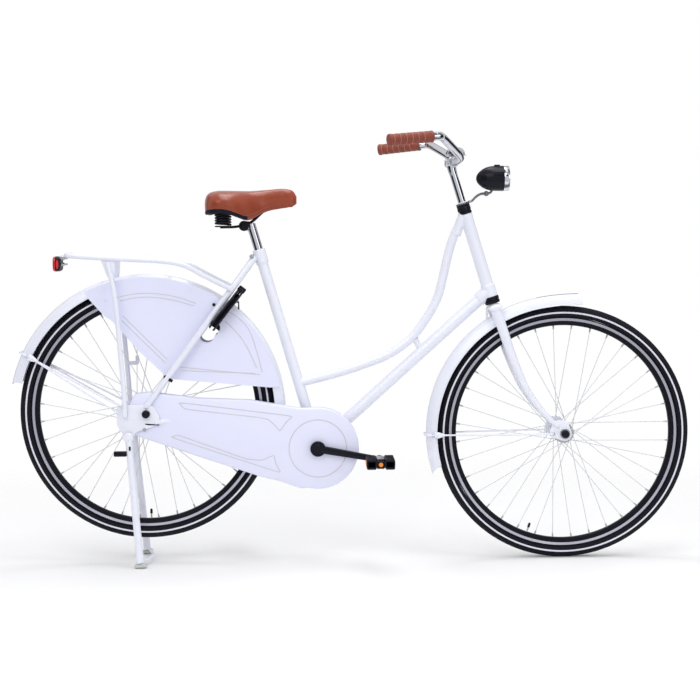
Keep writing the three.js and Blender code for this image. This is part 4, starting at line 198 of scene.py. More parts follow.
PLASTIC = surface("black_plastic", (0.006, 0.006, 0.012), (0.012, 0.011, 0.018), 0.36, 0.1, grain=900, bump=0.08,
                  worn=(0.05, 0.05, 0.058), wear=0.3, cells=700, shine=0.12)
# Chrome's base colour carries painted reflection bands, dark stripes that follow the view
CHROME = surface("chrome", (0.80, 0.82, 0.86), (0.72, 0.74, 0.79), 0.08, 0.04, metal=1.0, grain=500, bump=0.01,
                 worn=(0.5, 0.5, 0.52), wear=0.25, painted_reflection=0.82)
STEEL = surface("steel", (0.52, 0.53, 0.56), (0.42, 0.43, 0.46), 0.32, 0.1, metal=0.9, grain=700, bump=0.06,
                brushed=(1.0, 30.0, 1.0), worn=(0.25, 0.24, 0.23), wear=0.3)
STRAP = surface("strap_steel", (0.20, 0.20, 0.22), (0.15, 0.15, 0.17), 0.3, 0.08, metal=0.7, grain=500, bump=0.03,
                worn=(0.3, 0.3, 0.3), wear=0.3)
SPOKE = surface("spoke_wire", (0.70, 0.71, 0.74), (0.62, 0.63, 0.66), 0.45, 0.08, metal=0.15, grain=300, bump=0.01,
                worn=(0.4, 0.4, 0.42), wear=0.2, shine=0.3)
LEATHER = surface("leather", (0.31, 0.054, 0.018), (0.215, 0.034, 0.012), 0.3, 0.1, coat=0.3, grain=300, bump=0.06,
                  patch=16, worn=(0.42, 0.10, 0.04), wear=0.3, cells=650, sheen=0.02, shine=0.3, coat_rough=0.3)
GRIP = surface("grip_leather", (0.27, 0.062, 0.040), (0.205, 0.044, 0.028), 0.5, 0.12, grain=700, bump=0.4,
               patch=28, worn=(0.38, 0.12, 0.08), wear=0.4, cells=800, sheen=0.04, shine=0.3)
THREAD = surface("thread", (0.50, 0.26, 0.18), (0.40, 0.19, 0.13), 0.7, grain=2500, bump=0.4)
RED = surface("red_lens", (0.62, 0.016, 0.022), (0.48, 0.010, 0.014), 0.12, 0.04, coat=0.3, grain=300, bump=0.2,
              cells=420, worn=(0.66, 0.10, 0.09), wear=0.2)
ORANGE = surface("orange_reflector", (0.90, 0.30, 0.02), (0.74, 0.20, 0.01), 0.15, 0.05, coat=0.4, grain=500,
                 bump=0.2, cells=500, worn=(0.9, 0.45, 0.15), wear=0.2)
GLASS = surface("clear_lens", (0.66, 0.68, 0.72), (0.56, 0.58, 0.62), 0.08, 0.04, metal=0.6, coat=0.5, grain=260,
                bump=0.2, cells=300, worn=(0.4, 0.4, 0.42), wear=0.15)
DARK = surface("dark_gap", (0.008, 0.008, 0.010), (0.016, 0.016, 0.018), 0.8, grain=500, bump=0.1, shine=0.2)
PALE = surface("pale_rubber", (0.56, 0.58, 0.54), (0.46, 0.49, 0.45), 0.6, grain=900, bump=0.2,
               worn=(0.32, 0.33, 0.31), wear=0.4)

# The slot of a piece that names none, by its first finish
SLOTS = {
    PAINT: "white_paint", PALE: "white_paint", SKIRT: "white_skirt", BLACK: "black_paint", RIM: "black_paint",
    PLASTIC: "black_plastic", ORANGE: "black_plastic", RUBBER: "tyre_rubber", STRIPE: "tyre_rubber",
    STEEL: "plain_steel", STRAP: "plain_steel", SPOKE: "plain_steel", CHROME: "bright_steel", RED: "red_lens",
    LEATHER: "brown_leather", GRIP: "brown_leather", THREAD: "brown_leather"}


# Mesh building
def hermite(start, leave, end, arrive, t):
    """Value at share t of the way from start to end, with the slopes at both ends."""
    return (start * (2 * t ** 3 - 3 * t ** 2 + 1) + leave * (t ** 3 - 2 * t ** 2 + t)
            + end * (3 * t ** 2 - 2 * t ** 3) + arrive * (t ** 3 - t ** 2))


def mirrored(half):
    """Profile of (radius, side) with the same points added on the other side, in reverse."""
    return half + [(radius, -side) for radius, side in half[::-1]]


def spline(points, steps, closed=False):
    """Evenly spaced points of a centripetal curve through the given ones."""
    given = [Vector(p) for p in points]
    if closed:
        line = [given[-1]] + given + given[:2]
    else:
        line = [given[0] * 2 - given[1]] + given + [given[-1] * 2 - given[-2]]
    fine = []
    for i in range(1, len(line) - 2):
        a, b, c, d = line[i - 1:i + 3]
        ab, bc, cd = (max(v.length, 1e-6) ** 0.5 for v in (b - a, c - b, d - c))
        leave = ((b - a) / ab - (c - a) / (ab + bc) + (c - b) / bc) * bc
        arrive = ((c - b) / bc - (d - b) / (bc + cd) + (d - c) / cd) * bc
        fine += [hermite(b, leave, c, arrive, k / 24) for k in range(24)]
    fine.append(line[-2].copy())
    reach = [0.0]
    for p, q in zip(fine, fine[1:]):
        reach.append(reach[-1] + (q - p).length)
    result = []
    j = 0
    for i in range(steps if closed else steps + 1):
        want = reach[-1] * i / steps
        while j < len(reach) - 2 and reach[j + 1] < want:
            j += 1
        span = max(reach[j + 1] - reach[j], 1e-9)
        result.append(fine[j].lerp(fine[j + 1], min(1, (want - reach[j]) / span)))
    return result


class Shape:
    """Vertices and faces gathered for one piece, each face with its material number."""

    def __init__(self):
        self.verts = []
        self.faces = []
        self.slots = []

    def skin(self, rings, slot=0, loop=False, slots=None):
        start = len(self.verts)
        count = len(rings[0])
        for ring in rings:
            self.verts.extend(map(Vector, ring))
        spans = len(rings) if loop else len(rings) - 1
        for i in range(spans):
            here = start + i * count
            there = start + ((i + 1) % len(rings)) * count
            for j in range(count):
                k = (j + 1) % count
                self.faces.append((here + j, here + k, there + k, there + j))
                self.slots.append(slots[j] if slots else slot)
        if not loop:
            for i in (0, len(rings) - 1):
                self.faces.append(tuple(start + i * count + j for j in range(count)))
                self.slots.append(slot)

    def tube(self, points, size, steps=40, across=Y, sides=16, curve=True, loop=False, round_end=0.0):
        """Bar along a curve. size is a radius, or gives (depth, width) halves from the share of the way."""
        line = spline(points, steps, loop) if curve else [Vector(p) for p in points]
        count = len(line)
        rings = []
        for i, centre in enumerate(line):
            if loop:
                ahead = line[(i + 1) % count] - line[i - 1]
            else:
                ahead = line[min(i + 1, count - 1)] - line[max(i - 1, 0)]
            ahead.normalize()
            side = (across - ahead * across.dot(ahead)).normalized()
            front = side.cross(ahead)
            share = i / max(1, count - 1)
            deep, wide = size(share) if callable(size) else size if isinstance(size, tuple) else (size, size)
            rings.append([centre + front * deep * math.cos(t) + side * wide * math.sin(t)
                          for t in (2 * math.pi * j / sides for j in range(sides))])
        if round_end and not loop:
            for end, other in ((0, 1), (-1, -2)):
                centre = sum(rings[end], Vector()) / sides
                out = (centre - sum(rings[other], Vector()) / sides).normalized()
                extra = [[centre + (p - centre) * narrow + out * round_end * push for p in rings[end]]
                         for narrow, push in ((0.9, 0.45), (0.6, 0.85), (0.2, 1))]
                rings = extra[::-1] + rings if end == 0 else rings + extra
        self.skin(rings, loop=loop)

    def rod(self, low, high, radius, sides=24, edge=0.8):
        """Round bar between two points, with chamfered ends."""
        span = Vector(high) - Vector(low)
        profile = [(radius - edge, 0), (radius, edge), (radius, span.length - edge), (radius - edge, span.length)]
        self.stack(profile, low, span.normalized(), sides)

    def stack(self, profile, centre, axis, sides=32, slot=0, slots=None, loop=False):
        """Turned piece: rings of (radius, height) along an axis, capped at both ends unless looped."""
        centre = Vector(centre)
        axis = Vector(axis).normalized()
        first = axis.orthogonal().normalized()
        other = axis.cross(first)
        rings = [[centre + axis * height + (first * math.cos(t) + other * math.sin(t)) * max(radius, 0.01)
                  for t in (2 * math.pi * j / sides for j in range(sides))] for radius, height in profile]
        loop = loop or slots is not None
        self.skin(list(zip(*rings)) if loop else rings, slot, loop, slots)

    def slab(self, outline, low, high, edge=1.0):
        """Plate from an outline seen from the side, with rounded edges."""
        away = 1 if high > low else -1
        rings = []
        for face, way in ((low, away), (high, -away)):
            half = [[at(p, face + way * edge * depth) for p in shrink(outline, edge * inset)]
                    for inset, depth in ((1, 0), (0.3, 0.3), (0, 1))]
            rings += half if face == low else half[::-1]
        self.skin(rings)

    def box(self, centre, size, edge=1.0, turn=Matrix.Identity(3)):
        """Box with rounded upright edges and soft rims."""
        half_x, half_y, half_z = (s / 2 for s in size)
        rings = []
        for depth, inset in ((-half_y, 1), (-half_y + edge * 0.3, 0.3), (-half_y + edge, 0), (half_y - edge, 0),
                             (half_y - edge * 0.3, 0.3), (half_y, 1)):
            reach = edge - edge * inset * 0.9
            ring = []
            for sx, sz, start in ((1, 1, 0), (-1, 1, 90), (-1, -1, 180), (1, -1, 270)):
                for k in range(4):
                    t = math.radians(start + 30 * k)
                    x = sx * (half_x - edge) + reach * math.cos(t)
                    z = sz * (half_z - edge) + reach * math.sin(t)
                    ring.append(Vector(centre) + turn @ Vector((x, depth, z)))
            rings.append(ring)
        self.skin(rings)

    def sweep(self, section, centre, start, end, steps, tips, lift=None):
        """Section of (radius, side) turned about an axle. tips gives how far each end reaches at a side share."""
        rings = []
        half = max(abs(s) for _, s in section)
        for i in range(steps + 1):
            ring = []
            for radius, side in section:
                share = abs(side) / half
                low = start + tips[0] * share
                high = end - tips[1] * share
                angle = low + (high - low) * i / steps
                ring.append(polar(centre, radius + (lift(angle) if lift else 0), angle, side))
            rings.append(ring)
        self.skin(rings)

    def build(self, name, body, materials, node=None, slot=None, sharp=38):
        """Makes the mesh object, gives it to its body and leaves the shape empty for the next piece."""
        mesh = bpy.data.meshes.new(name)
        mesh.from_pydata([v * MM for v in self.verts], [], self.faces)
        materials = materials if isinstance(materials, list) else [materials]
        for material in materials:
            mesh.materials.append(material)
        for face, number in zip(mesh.polygons, self.slots):
            face.material_index = number
        work = bmesh.new()
        work.from_mesh(mesh)
        bmesh.ops.recalc_face_normals(work, faces=work.faces)
        work.to_mesh(mesh)
        work.free()
        mesh.shade_smooth()
        mesh.set_sharp_from_angle(angle=math.radians(sharp))
        piece = bpy.data.objects.new(name, mesh)
        bpy.context.scene.collection.objects.link(piece)
        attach(piece, body)
        if node:
            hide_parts(node)
        slot = slot or SLOTS.get(materials[0])
        self.__init__()
        return piece


def shrink(outline, distance):
    """Outline moved in by a distance."""
    points = [Vector(p) for p in outline]
    area = sum(a.x * b.y - b.x * a.y for a, b in zip(points, points[1:] + points[:1]))
    turn = 1 if area > 0 else -1
    count = len(points)
    result = []
    for i, here in enumerate(points):
        first = (here - points[i - 1]).normalized()
        second = (points[(i + 1) % count] - here).normalized()
        inward = Vector((-first.y, first.x)) + Vector((-second.y, second.x))
        size = max(inward.length_squared, 0.6)
        result.append(here + inward * (2 * distance * turn / size))
    return result


def rounded(outline, corner=0.35, steps=4):
    """Outline with each corner rounded off."""
    points = [Vector(p) for p in outline]
    count = len(points)
    result = []
    for i, here in enumerate(points):
        before = here.lerp(points[i - 1], corner)
        after = here.lerp(points[(i + 1) % count], corner)
        for k in range(steps + 1):
            t = k / steps
            result.append(before * (1 - t) ** 2 + here * 2 * t * (1 - t) + after * t ** 2)
    return result


def keep(node, material, width):
    """Leaves a CAD node showing, with a finish and softened edges."""
    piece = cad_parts[node]
    piece.data.materials.clear()
    piece.data.materials.append(material)
    bevel = piece.modifiers.new("soft_edges", "BEVEL")
    bevel.width = width * MM
    bevel.segments = 2
    bevel.limit_method = "ANGLE"
    bevel.angle_limit = math.radians(28)


def studs(shape, place, low, high, radius, sides, edge):
    """The same short bar across on both sides of a place."""
    for side in SIDES:
        shape.rod(at(place, side * low), at(place, side * high), radius, sides, edge)


# Frame tubes
def head_tube():
    s = Shape()
    s.stack([(16.2, HEAD_LOW), (19.5, HEAD_LOW + 1), (19.5, HEAD_LOW + 30), (18.6, HEAD_LOW + 35),
             (17, HEAD_LOW + 37), (17, HEAD_HIGH - 34), (17.6, HEAD_HIGH - 28), (17.8, HEAD_HIGH - 1),
             (16.2, HEAD_HIGH)], STEER_FOOT, STEER_UP, 40)
    s.tube([(313, 0, 966), (305.5, 0, 944), (296.5, 0, 920), (289, 0, 900)], (13.4, 14.6), 24, sides=32,
           round_end=1.5)
    low = Vector((380.7, 0, 745.2))
    s.stack([(18.5, 2), (18.5, 36), (17.6, 38.5), (16, 39)], low, CRANK - low, 32)
    s.build("head_tube_shell", "frame", PAINT, "head_tube")


def frame_tubes():
    s = Shape()
    s.tube([(x, 0, z) for x, z in TOP_TUBE], 12, 90, sides=28)
    s.build("top_tube_swan", "frame", PAINT, "top_tube")
    s.rod((365.9, 0, 732), CRANK, 16, 36)
    s.stack([(10.5, 10), (9, 13.5), (8, 17), (8, 38)], (169.8, 0, 620.9), (24.7, 0, -42.5), 24)
    s.build("down_tube_main", "frame", PAINT, "down_tube")
    s.rod(CRANK, seat(530), 14.3, 36)
    s.stack([(14.3, 525), (17, 529), (17.5, 531), (17.5, 567), (16.8, 568), (12.9, 568), (12.9, 560)],
            CRANK, SEAT_UP, 40)
    s.rod(seat(549, -21, -13.5), seat(549, -21, 13.5), 7.6, 28, 1.2)
    s.build("seat_tube_main", "frame", PAINT, "seat_tube")
    s.stack(mirrored([(20, -34), (21, -33)]), CRANK, Y, 44)
    s.build("bracket_shell", "frame", PAINT, "bottom_bracket_shell")
    for hand, side in HANDS:
        s.tube(on_side(CHAIN_STAY, side), lambda t: (9 - 2.5 * t, 9 - 2.5 * t), 44, sides=22, round_end=4)
        s.slab(rounded(DROPOUT, 0.25), side * 58.25, side * 63.75, 0.9)
        if side > 0:
            s.rod((-186, -31, 337.4), (-186, 31, 337.4), 6, 20)
        s.build(f"chain_stay_{hand}_tube", "frame", PAINT, "chain_stay_" + hand)
        s.tube(on_side(SEAT_STAY, side), lambda t: (9 - 1.5 * t, 9 - 1.5 * t), 56, sides=22, round_end=5)
        if side > 0:
            middle = polar(REAR, 386.3, 55.6)
            s.rod(at(middle, -46), at(middle, 46), 6, 20)
        s.build(f"seat_stay_{hand}_tube", "frame", PAINT, "seat_stay_" + hand)


def small_bolts():
    """Bolts, pins and clips that the frame carries."""
    s = Shape()
    studs(s, (-273, 844), 30, 34.6, 6.6, 6, 0.8)
    studs(s, (-273, 844), 33, 36, 3.8, 18, 0.6)
    s.rod((-569.2, -66, 375), (-569.2, -63, 375), 4.6, 20, 0.8)
    s.rod((-647.2, -70.4, 787), (-647.2, -66, 787), 3.2, 16, 0.6)
    s.build("small_bolts", "frame", STEEL)
    studs(s, (-672.2, 729), 37, 39.5, 4.2, 18, 0.8)
    s.build("coat_guard_rear_pins", "frame", SKIRT)
    studs(s, (-377.2, 714), 37, 40.5, 4.4, 18, 0.8)
    s.slab([(-567, 392), (-528, 389), (-529, 386.4), (-560, 387.4), (-567, 389.4)], -64.4, -63.4, 0.3)
    s.box((-502.5, -62, 514), (27, 5, 8.5), 1.2, Matrix.Rotation(math.radians(33.5), 3, "Y"))
    s.build("cable_clips", "frame", DARK)


# Headset
def headset():
    s = Shape()
    s.stack([(13.8, 0.4), (18.4, 0.4), (18.5, 6), (17.2, 7), (17.2, 8.5), (18.6, 9.5), (18.8, 18), (17.6, 19.5),
             (18.2, 20.5), (18.2, 26), (17.4, 27), (13.8, 27)], steer(HEAD_HIGH), STEER_UP, 44, loop=True)
    s.build("headset_cup_upper", "frame", BLACK, "headset_upper")
    s.stack([(13.8, -0.4), (20.5, -0.4), (21, -2), (21, -8), (19.6, -9), (19.6, -10.5), (20.9, -11.5), (20.6, -18.6),
             (13.8, -18.8)], steer(HEAD_LOW), STEER_UP, 44, loop=True)
    s.build("headset_cup_lower", "frame", BLACK, "headset_lower")


# Fork
def fork():
    s = Shape()
    rings = []
    for k in range(41):
        place = -1 + 2 * k / 40
        size = max(0.0, 1 - abs(place) ** 7) ** 0.5 * 0.45 + 0.55
        drop = -2.4 * abs(place) ** 6
        rings.append([steer(CROWN + size * 10 * math.sin(t) + drop, size * 20 * math.cos(t), place * 52)
                      for t in (2 * math.pi * j / 28 for j in range(28))])
    s.skin(rings)
    s.stack([(12.9, CROWN), (12.9, HEAD_HIGH + 33), (12.2, HEAD_HIGH + 34), (11.4, HEAD_HIGH + 34)],
            STEER_FOOT, STEER_UP, 32)
    s.build("fork_crown_cast", "fork", PAINT, "fork_crown")
    for hand, side in HANDS:
        s.tube(on_side(FORK_BLADE, side), lambda t: (15 - 8 * t, 10 - 3 * t), 64, sides=28, round_end=5)
        s.slab(rounded(FORK_END, 0.3), side * 47.5, side * 52.5, 0.9)
        s.build(f"fork_blade_{hand}_tube", "fork", PAINT, "fork_blade_" + hand)
    studs(s, (553.3, 351), 52.2, 56, 3.8, 18, 0.6)
    s.build("fork_end_screws", "fork", STEEL)


# Axles
FORK_FACE = 52.5
STAY_FACE = 63.75


def axle(name, node, body, centre, face, inner, washer):
    """Axle, spacers, washers and nuts. face is how far out the frame or fork ends."""
    s = Shape()
    s.rod(at(centre, -face - 14), at(centre, face + 14), 4.8, 20, 0.8)
    studs(s, centre, face + 0.4, face + 2, washer, 36, 0.4)
    studs(s, centre, face + 2, face + 9.5, 10.2, 6, 0.9)
    studs(s, centre, inner, face - 6, 7.5, 20, 0.5)
    s.build(name, body, STEEL, node)


def caps(name, body, centre, face):
    s = Shape()
    for side in SIDES:
        s.tube([at(centre, side * (face + 1)), at(centre, side * (face + 11))], 10.9, 2, Z, 32, curve=False,
               round_end=4.5)
    s.build(name, body, PLASTIC)


# Wheels
TYRE_MIDDLE = 331.2
TYRE_HALF = 20
TREAD_START = 341
TREAD_STEPS = 288
SPOKES = 36
SPOKE_HEAD = 298


def tyre_profile():
    outer = []
    for k in range(25):
        t = math.radians(200 - 220 * k / 24)
        outer.append((TYRE_MIDDLE + 19.8 * math.sin(t), TYRE_HALF * math.cos(t)))
    outer = [(r, s) for r, s in outer if r > 324]
    return [(320.4, -11.6)] + outer + [(320.4, 11.6), (320.4, 8), (338, 5), (338, -5), (320.4, -8)]


def wheel(hand, body, centre, valve_angle, hub_profile, flange_radius, flange):
    s = Shape()
    rings = []
    for i in range(TREAD_STEPS):
        ring = []
        for radius, side in tyre_profile():
            share = abs(side) / TYRE_HALF
            if radius > TREAD_START:
                if 0.30 < share < 0.88 and (i // 2 + (side <= 0)) % 2:
                    radius -= 1.5
                if share < 0.14 and i % 6 < 3:
                    radius -= 0.9
            ring.append(polar(centre, radius, 360 * i / TREAD_STEPS, side))
        rings.append(ring)
    s.skin(rings, loop=True)
    s.build(hand + "_tyre_tread", body, RUBBER, hand + "_tyre", sharp=50)
    for side in SIDES:
        band = [(329.6, 19.6), (331.2, 20.3), (333.4, 20.3), (335, 19.7), (334.4, 19.1), (330.2, 19.1)]
        s.stack([(r, side * w) for r, w in band], centre, Y, 180, loop=True)
    s.build(hand + "_tyre_stripe", body, STRIPE)
    rim = [(297.2, -5), (297.2, 5), (299.5, 8.6), (305, 10.8), (309.4, 11.6), (310, 12), (317, 12), (319.4, 12.1),
           (320.0, 11.4), (319.6, 9.6), (309, 6), (307, 0), (309, -6), (319.6, -9.6), (320.0, -11.4),
           (319.4, -12.1), (317, -12), (310, -12), (309.4, -11.6), (305, -10.8), (299.5, -8.6)]
    zones = [int(k in (5, 16)) for k in range(len(rim))]
    s.stack(rim, centre, Y, 180, slots=zones)
    s.build(hand + "_rim_section", body, [RIM, BAND], hand + "_rim", sharp=30)
    nipples = Shape()
    for i in range(SPOKES):
        side = -1 if i % 2 else 1
        turn = -1 if (i // 2) % 2 else 1
        angle = 360 / SPOKES * (i + 0.5)
        foot = polar(centre, flange_radius - 4, angle + turn * 55, side * (flange + turn * 2.6))
        head = polar(centre, SPOKE_HEAD, angle, side * 1.4)
        aim = (foot - head).normalized()
        s.rod(foot, head, 1.0, 8, 0.2)
        s.rod(foot - Y * side * turn * 0.6, foot + Y * side * turn * 1.6, 2.2, 10, 0.4)
        nipples.stack([(1.4, -1), (2.6, 0), (2.3, 4), (1.9, 11), (1.3, 12)], head, aim, 10)
    s.build(hand + "_spokes_drawn", body, SPOKE, hand + "_spokes")
    nipples.build(hand + "_nipples", body, STEEL)
    s.stack(hub_profile, centre, Y, 48, loop=True)
    s.build(hand + "_hub_shell", body, STEEL, hand + "_hub", sharp=25)
    foot = polar(centre, SPOKE_HEAD, valve_angle)
    out = (centre - foot).normalized()
    s.stack([(3.2, -1), (3.2, 1), (2.4, 2), (2.4, 15), (2.0, 16)], foot, out, 14)
    s.stack([(3.4, 14), (3.6, 15), (3.4, 25), (2.2, 27)], foot, out, 14, slot=1)
    s.build(hand + "_valve", body, [STEEL, PLASTIC])


def wheels():
    front = mirrored([(5.8, -46), (11, -46), (13, -44), (12, -33), (20, -32), (28, -31.6), (28, -28.6), (20, -28),
                      (13, -25), (11.5, -10)])
    wheel("front", "front_wheel", FRONT, VALVE_ANGLES[0], front, 28, 30)
    rear = [(5.8, -28), (22, -28), (24, -26), (36, -24.6), (36, -21.6), (26, -21), (23, -18), (23, 18), (26, 21),
            (36, 21.6), (36, 24.6), (25, 26), (24, 36), (13, 47), (12, 48), (5.8, 48)]
    wheel("rear", "rear_wheel", REAR, VALVE_ANGLES[1], rear, 36, 23)
    axle("front_axle_nuts", "front_axle", "fork", FRONT, FORK_FACE, 46.4, 14.5)
    axle("rear_axle_nuts", "rear_axle", "frame", REAR, STAY_FACE, 48.6, 11.5)
    caps("front_axle_caps", "fork", FRONT, FORK_FACE)
    caps("rear_axle_caps", "frame", REAR, STAY_FACE)


# Drive
CRANK_LENGTH = 170
PEDAL_LOW = 84.1
PEDAL_HIGH = 180.1
CASE_FACE = -57.15


def drive():
    s = Shape()
    s.slab(CASE_OUTLINE, -57, -33, 5)
    s.build("chaincase_shell", "frame", SKIRT, "chaincase", "white_paint", sharp=50)
    keep("chaincase_back", SKIRT, 0.4)
    for node, width in (("chain", 0.3), ("chainring", 0.2), ("rear_sprocket", 0.2), ("crank_axle", 0.6),
                        ("brake_arm", 0.5)):
        keep(node, STEEL, width)
    # Raised ring and figures on the chaincase, grey as painted shade along the embossed ribs
    ring = [polar(CRANK, 79, 10 * k, CASE_FACE) for k in range(36)]
    s.tube(ring, (1.35, 0.55), 120, sides=10, loop=True)
    upper = [(-477, 449), (-164, 408), (-182, 392), (-200, 367), (-214, 384), (-232, 400), (-262, 406), (-459, 430)]
    lower = [(-498, 353), (-198, 251), (-212, 278), (-217, 301), (-250, 287), (-290, 290), (-479, 359)]
    for figure in (upper, lower):
        soft = rounded(figure, 0.12, 3)
        s.tube([(x, CASE_FACE, z) for x, z in soft], (1.3, 0.55), len(soft), sides=10, curve=False, loop=True)
    s.build("chaincase_lines", "frame", RIB_SHADE)
    for hand, side in HANDS:
        end = polar(CRANK, -side * CRANK_LENGTH, -10)
        boss = at(CRANK, side * 66)
        inner = 58.6 if side < 0 else 34.4
        s.rod(at(CRANK, side * inner), at(CRANK, side * 72.5), 21, 40, 1.6)
        s.rod(at(CRANK, side * 71), at(CRANK, side * 74.5), 12, 28, 1.2)
        eye = at(end, side * 76)
        s.tube([boss, boss.lerp(eye, 0.5), eye], lambda t: (11 - 2.6 * t, 6.5 - 1.2 * t), 24, sides=24)
        s.rod(at(end, side * 69.5), at(end, side * 82.5), 12, 32, 1.6)
        s.rod(at(end, side * 76), at(end, side * 174), 5, 18, 0.5)
        s.build("crank_arm_" + hand, "crank", BLACK, "crank_" + hand)
        pedal(hand, side, end)


def pedal(hand, side, end):
    body = hand + "_pedal"
    middle = at(end, side * (PEDAL_LOW + PEDAL_HIGH) / 2)
    s = Shape()
    for place in (-1, 1):
        block = middle + X * place * 25
        s.box(block, (26, 96, 26), 3)
        for k in range(6):
            for face in (1, -1):
                s.box(block + Y * (-40 + 16 * k) + Z * face * 13.1, (22, 5, 2.4), 0.8)
    for y in (PEDAL_LOW + 2.5, PEDAL_HIGH - 2.5):
        s.box(at(end, side * y), (71, 5, 17.3), 1.5)
    s.rod(at(end, side * PEDAL_LOW), at(end, side * PEDAL_HIGH), 10, 24, 0.8)
    s.build(f"pedal_{hand}_blocks", body, PLASTIC, "pedal_" + hand)
    for place in (-1, 1):
        s.box(middle + X * place * 38.4, (2, 62, 13), 0.9)
    s.rod(middle + Y * side * 47.6, middle + Y * side * 49.6, 6, 28, 0.4)
    s.build(f"pedal_{hand}_reflectors", body, ORANGE)
    for face in (1, -1):
        s.box(middle + Z * face * 13.2, (20, 60, 1.6), 0.6)
    s.build(f"pedal_{hand}_plates", body, STEEL)


# Mudguards
GUARD_CREST = 380
GUARD_DEPTH = 28
GUARD_EDGE = GUARD_CREST - GUARD_DEPTH
GUARD_HALF = 30
GUARD_WALL = 1.6
BEAD_SIDE = 29.4
FRONT_CLIP = 180.5
REAR_CLIP = 154


def guard_section():
    """Section of a mudguard as (radius, side), out along the crest and back inside."""
    outside = []
    for k in range(17):
        share = -1 + 2 * k / 16
        rise = (1 - abs(share) ** 3.2) ** 0.75
        outside.append((GUARD_CREST - GUARD_DEPTH * (1 - rise), share * GUARD_HALF))
    inside = [(r - GUARD_WALL, s * (GUARD_HALF - GUARD_WALL) / GUARD_HALF) for r, s in outside[::-1]]
    return outside + inside


def front_lip(angle):
    """How far the front end of the front mudguard turns up."""
    return 6 * max(0.0, (100 - angle) / 16) ** 2


def bead(shape, centre, start, end, radius, side, steps=90, lift=None):
    """Thin rolled rim along a mudguard."""
    angles = [start + (end - start) * k / steps for k in range(steps + 1)]
    shape.tube([polar(centre, radius + (lift(a) if lift else 0), a, side) for a in angles], 1.5, steps, sides=8,
               curve=False, round_end=1)


def mudguards():
    s = Shape()
    s.sweep(guard_section(), REAR, -7, 168, 120, tips=(-1.5, 2.0))
    for side in (-BEAD_SIDE, BEAD_SIDE):
        bead(s, REAR, -7, 166.4, GUARD_EDGE, side)
    s.build("rear_mudguard_skin", "frame", PAINT, "rear_mudguard", sharp=50)
    s.sweep(guard_section(), FRONT, 84, 198.2, 110, tips=(-2.2, 3.6), lift=front_lip)
    for side in (-BEAD_SIDE, BEAD_SIDE):
        bead(s, FRONT, 82, 194.4, GUARD_EDGE, side, lift=front_lip)
    s.box(steer(CROWN, -6) + Vector((-14, 0, -16)), (4, 24, 30), 1.5)
    s.build("front_mudguard_skin", "fork", PAINT, "front_mudguard", sharp=50)
    # Dark bead along the crest at the front end: a painted shade line standing in for the shaded far edge of the
    # mudguard, not a trim piece
    bead(s, FRONT, 83.6, 101, GUARD_CREST - 0.4, 0, steps=40, lift=front_lip)
    s.build("front_mudguard_shade_line", "fork", STRAP)
    wires(s, FRONT, FRONT_CLIP, Vector((553.3, 0, 351)), 55.1)
    s.build("front_mudguard_wires", "fork", PAINT, "front_mudguard_stays", "plain_steel")
    out = 66.3
    wires(s, REAR, REAR_CLIP, Vector((-629.75, 0, 439)), out)
    foot = Vector((-639.35, 0, 421.75))
    edge = polar(REAR, GUARD_EDGE, REAR_CLIP)
    for side in SIDES:
        s.tube([at(foot, side * out), at(foot.lerp(edge, 0.16), side * out), at(edge, side * 32.9)], 2.2, 20, Z, 10,
               round_end=1.2)
    s.build("rear_mudguard_wires", "frame", PAINT, "rear_mudguard_stays", "plain_steel")
    for name, centre, angle, body in (("front", FRONT, FRONT_CLIP, "fork"), ("rear", REAR, REAR_CLIP, "frame")):
        bolts = Shape()
        for side in SIDES:
            clip(s, centre, angle, side)
            p = polar(centre, 363, angle, side * 31.2)
            bolts.rod(p, p + Y * side * 3.2, 3.6, 16, 0.7)
        s.build("mudguard_clips_" + name, body, PAINT)
        bolts.build("mudguard_bolts_" + name, body, STEEL)


def clip(shape, centre, angle, side):
    """Sleeve that holds the wires at the edge of a mudguard."""
    near = polar(centre, 356, angle, side * 33.6)
    far = polar(centre, 330, angle, side * 36.6)
    shape.tube([near, near.lerp(far, 0.4), near.lerp(far, 0.7), far],
               lambda t: (8.6 - 5.4 * max(0, t - 0.35) / 0.65, 4.2 - 0.8 * t), 16,
               Y, 16, round_end=2.5)


def wires(shape, centre, angle, foot, side):
    """Wire from a foot beside the axle up around the outside of a mudguard and down on the other side."""
    wide = 32.55
    edge = polar(centre, GUARD_EDGE, angle, -wide)
    half = [at(foot, -side), at(foot.lerp(at(edge, 0), 0.16), -side), edge, polar(centre, 373, angle, -wide),
            polar(centre, 382.5, angle, 4.4 - wide)]
    line = half + [polar(centre, 383.6, angle)] + [at(p, -p.y) for p in half[::-1]]
    turn = math.radians(angle)
    shape.tube(line, 2.45, 90, Vector((-math.sin(turn), 0, math.cos(turn))), 12, round_end=1.2)


# Carrier, lamp and coat guards
def carrier():
    rail = [(-326, 63.8, 755.8), (-399.1, 66, 793.4), (-457.5, 66, 823.5), (-502.9, 66, 833), (-625.7, 66, 841),
            (-748.5, 66, 849), (-772.2, 52, 851)]
    s = Shape()
    s.tube(on_side(rail, -1) + [(-772.2, 0, 851)] + rail[::-1], 7, 130, Z, 20, round_end=3)
    for share in (0.12, 0.38, 0.64, 0.94):
        x = -779.2 + 307 * share
        z = 851 - 20 * share
        s.rod((x, -66, z), (x, 66, z), 4.5, 18, 0.4)
    s.build("carrier_rail", "frame", PAINT, "rear_rack")
    for hand, side in HANDS:
        leg = [(-621.2, 412), (-621.9, 459.1), (-629.9, 574.3), (-645, 747), (-660.9, 829.3)]
        s.tube([at(p, side * 69.3) for p in leg], (6.6, 5.2), 40, sides=20, round_end=3)
        s.slab(rounded([(-681, 842), (-641, 842), (-644, 790), (-662, 790)], 0.2), side * 64.5, side * 67.5, 0.7)
        if side > 0:
            s.box((-612, 69, 548), (26, 8, 11), 2)
            s.box((-599, 69, 556), (9, 10, 24), 2)
        s.build("carrier_leg_" + hand, "frame", PAINT, "rack_leg_" + hand)


LAMP_Z = 827.5


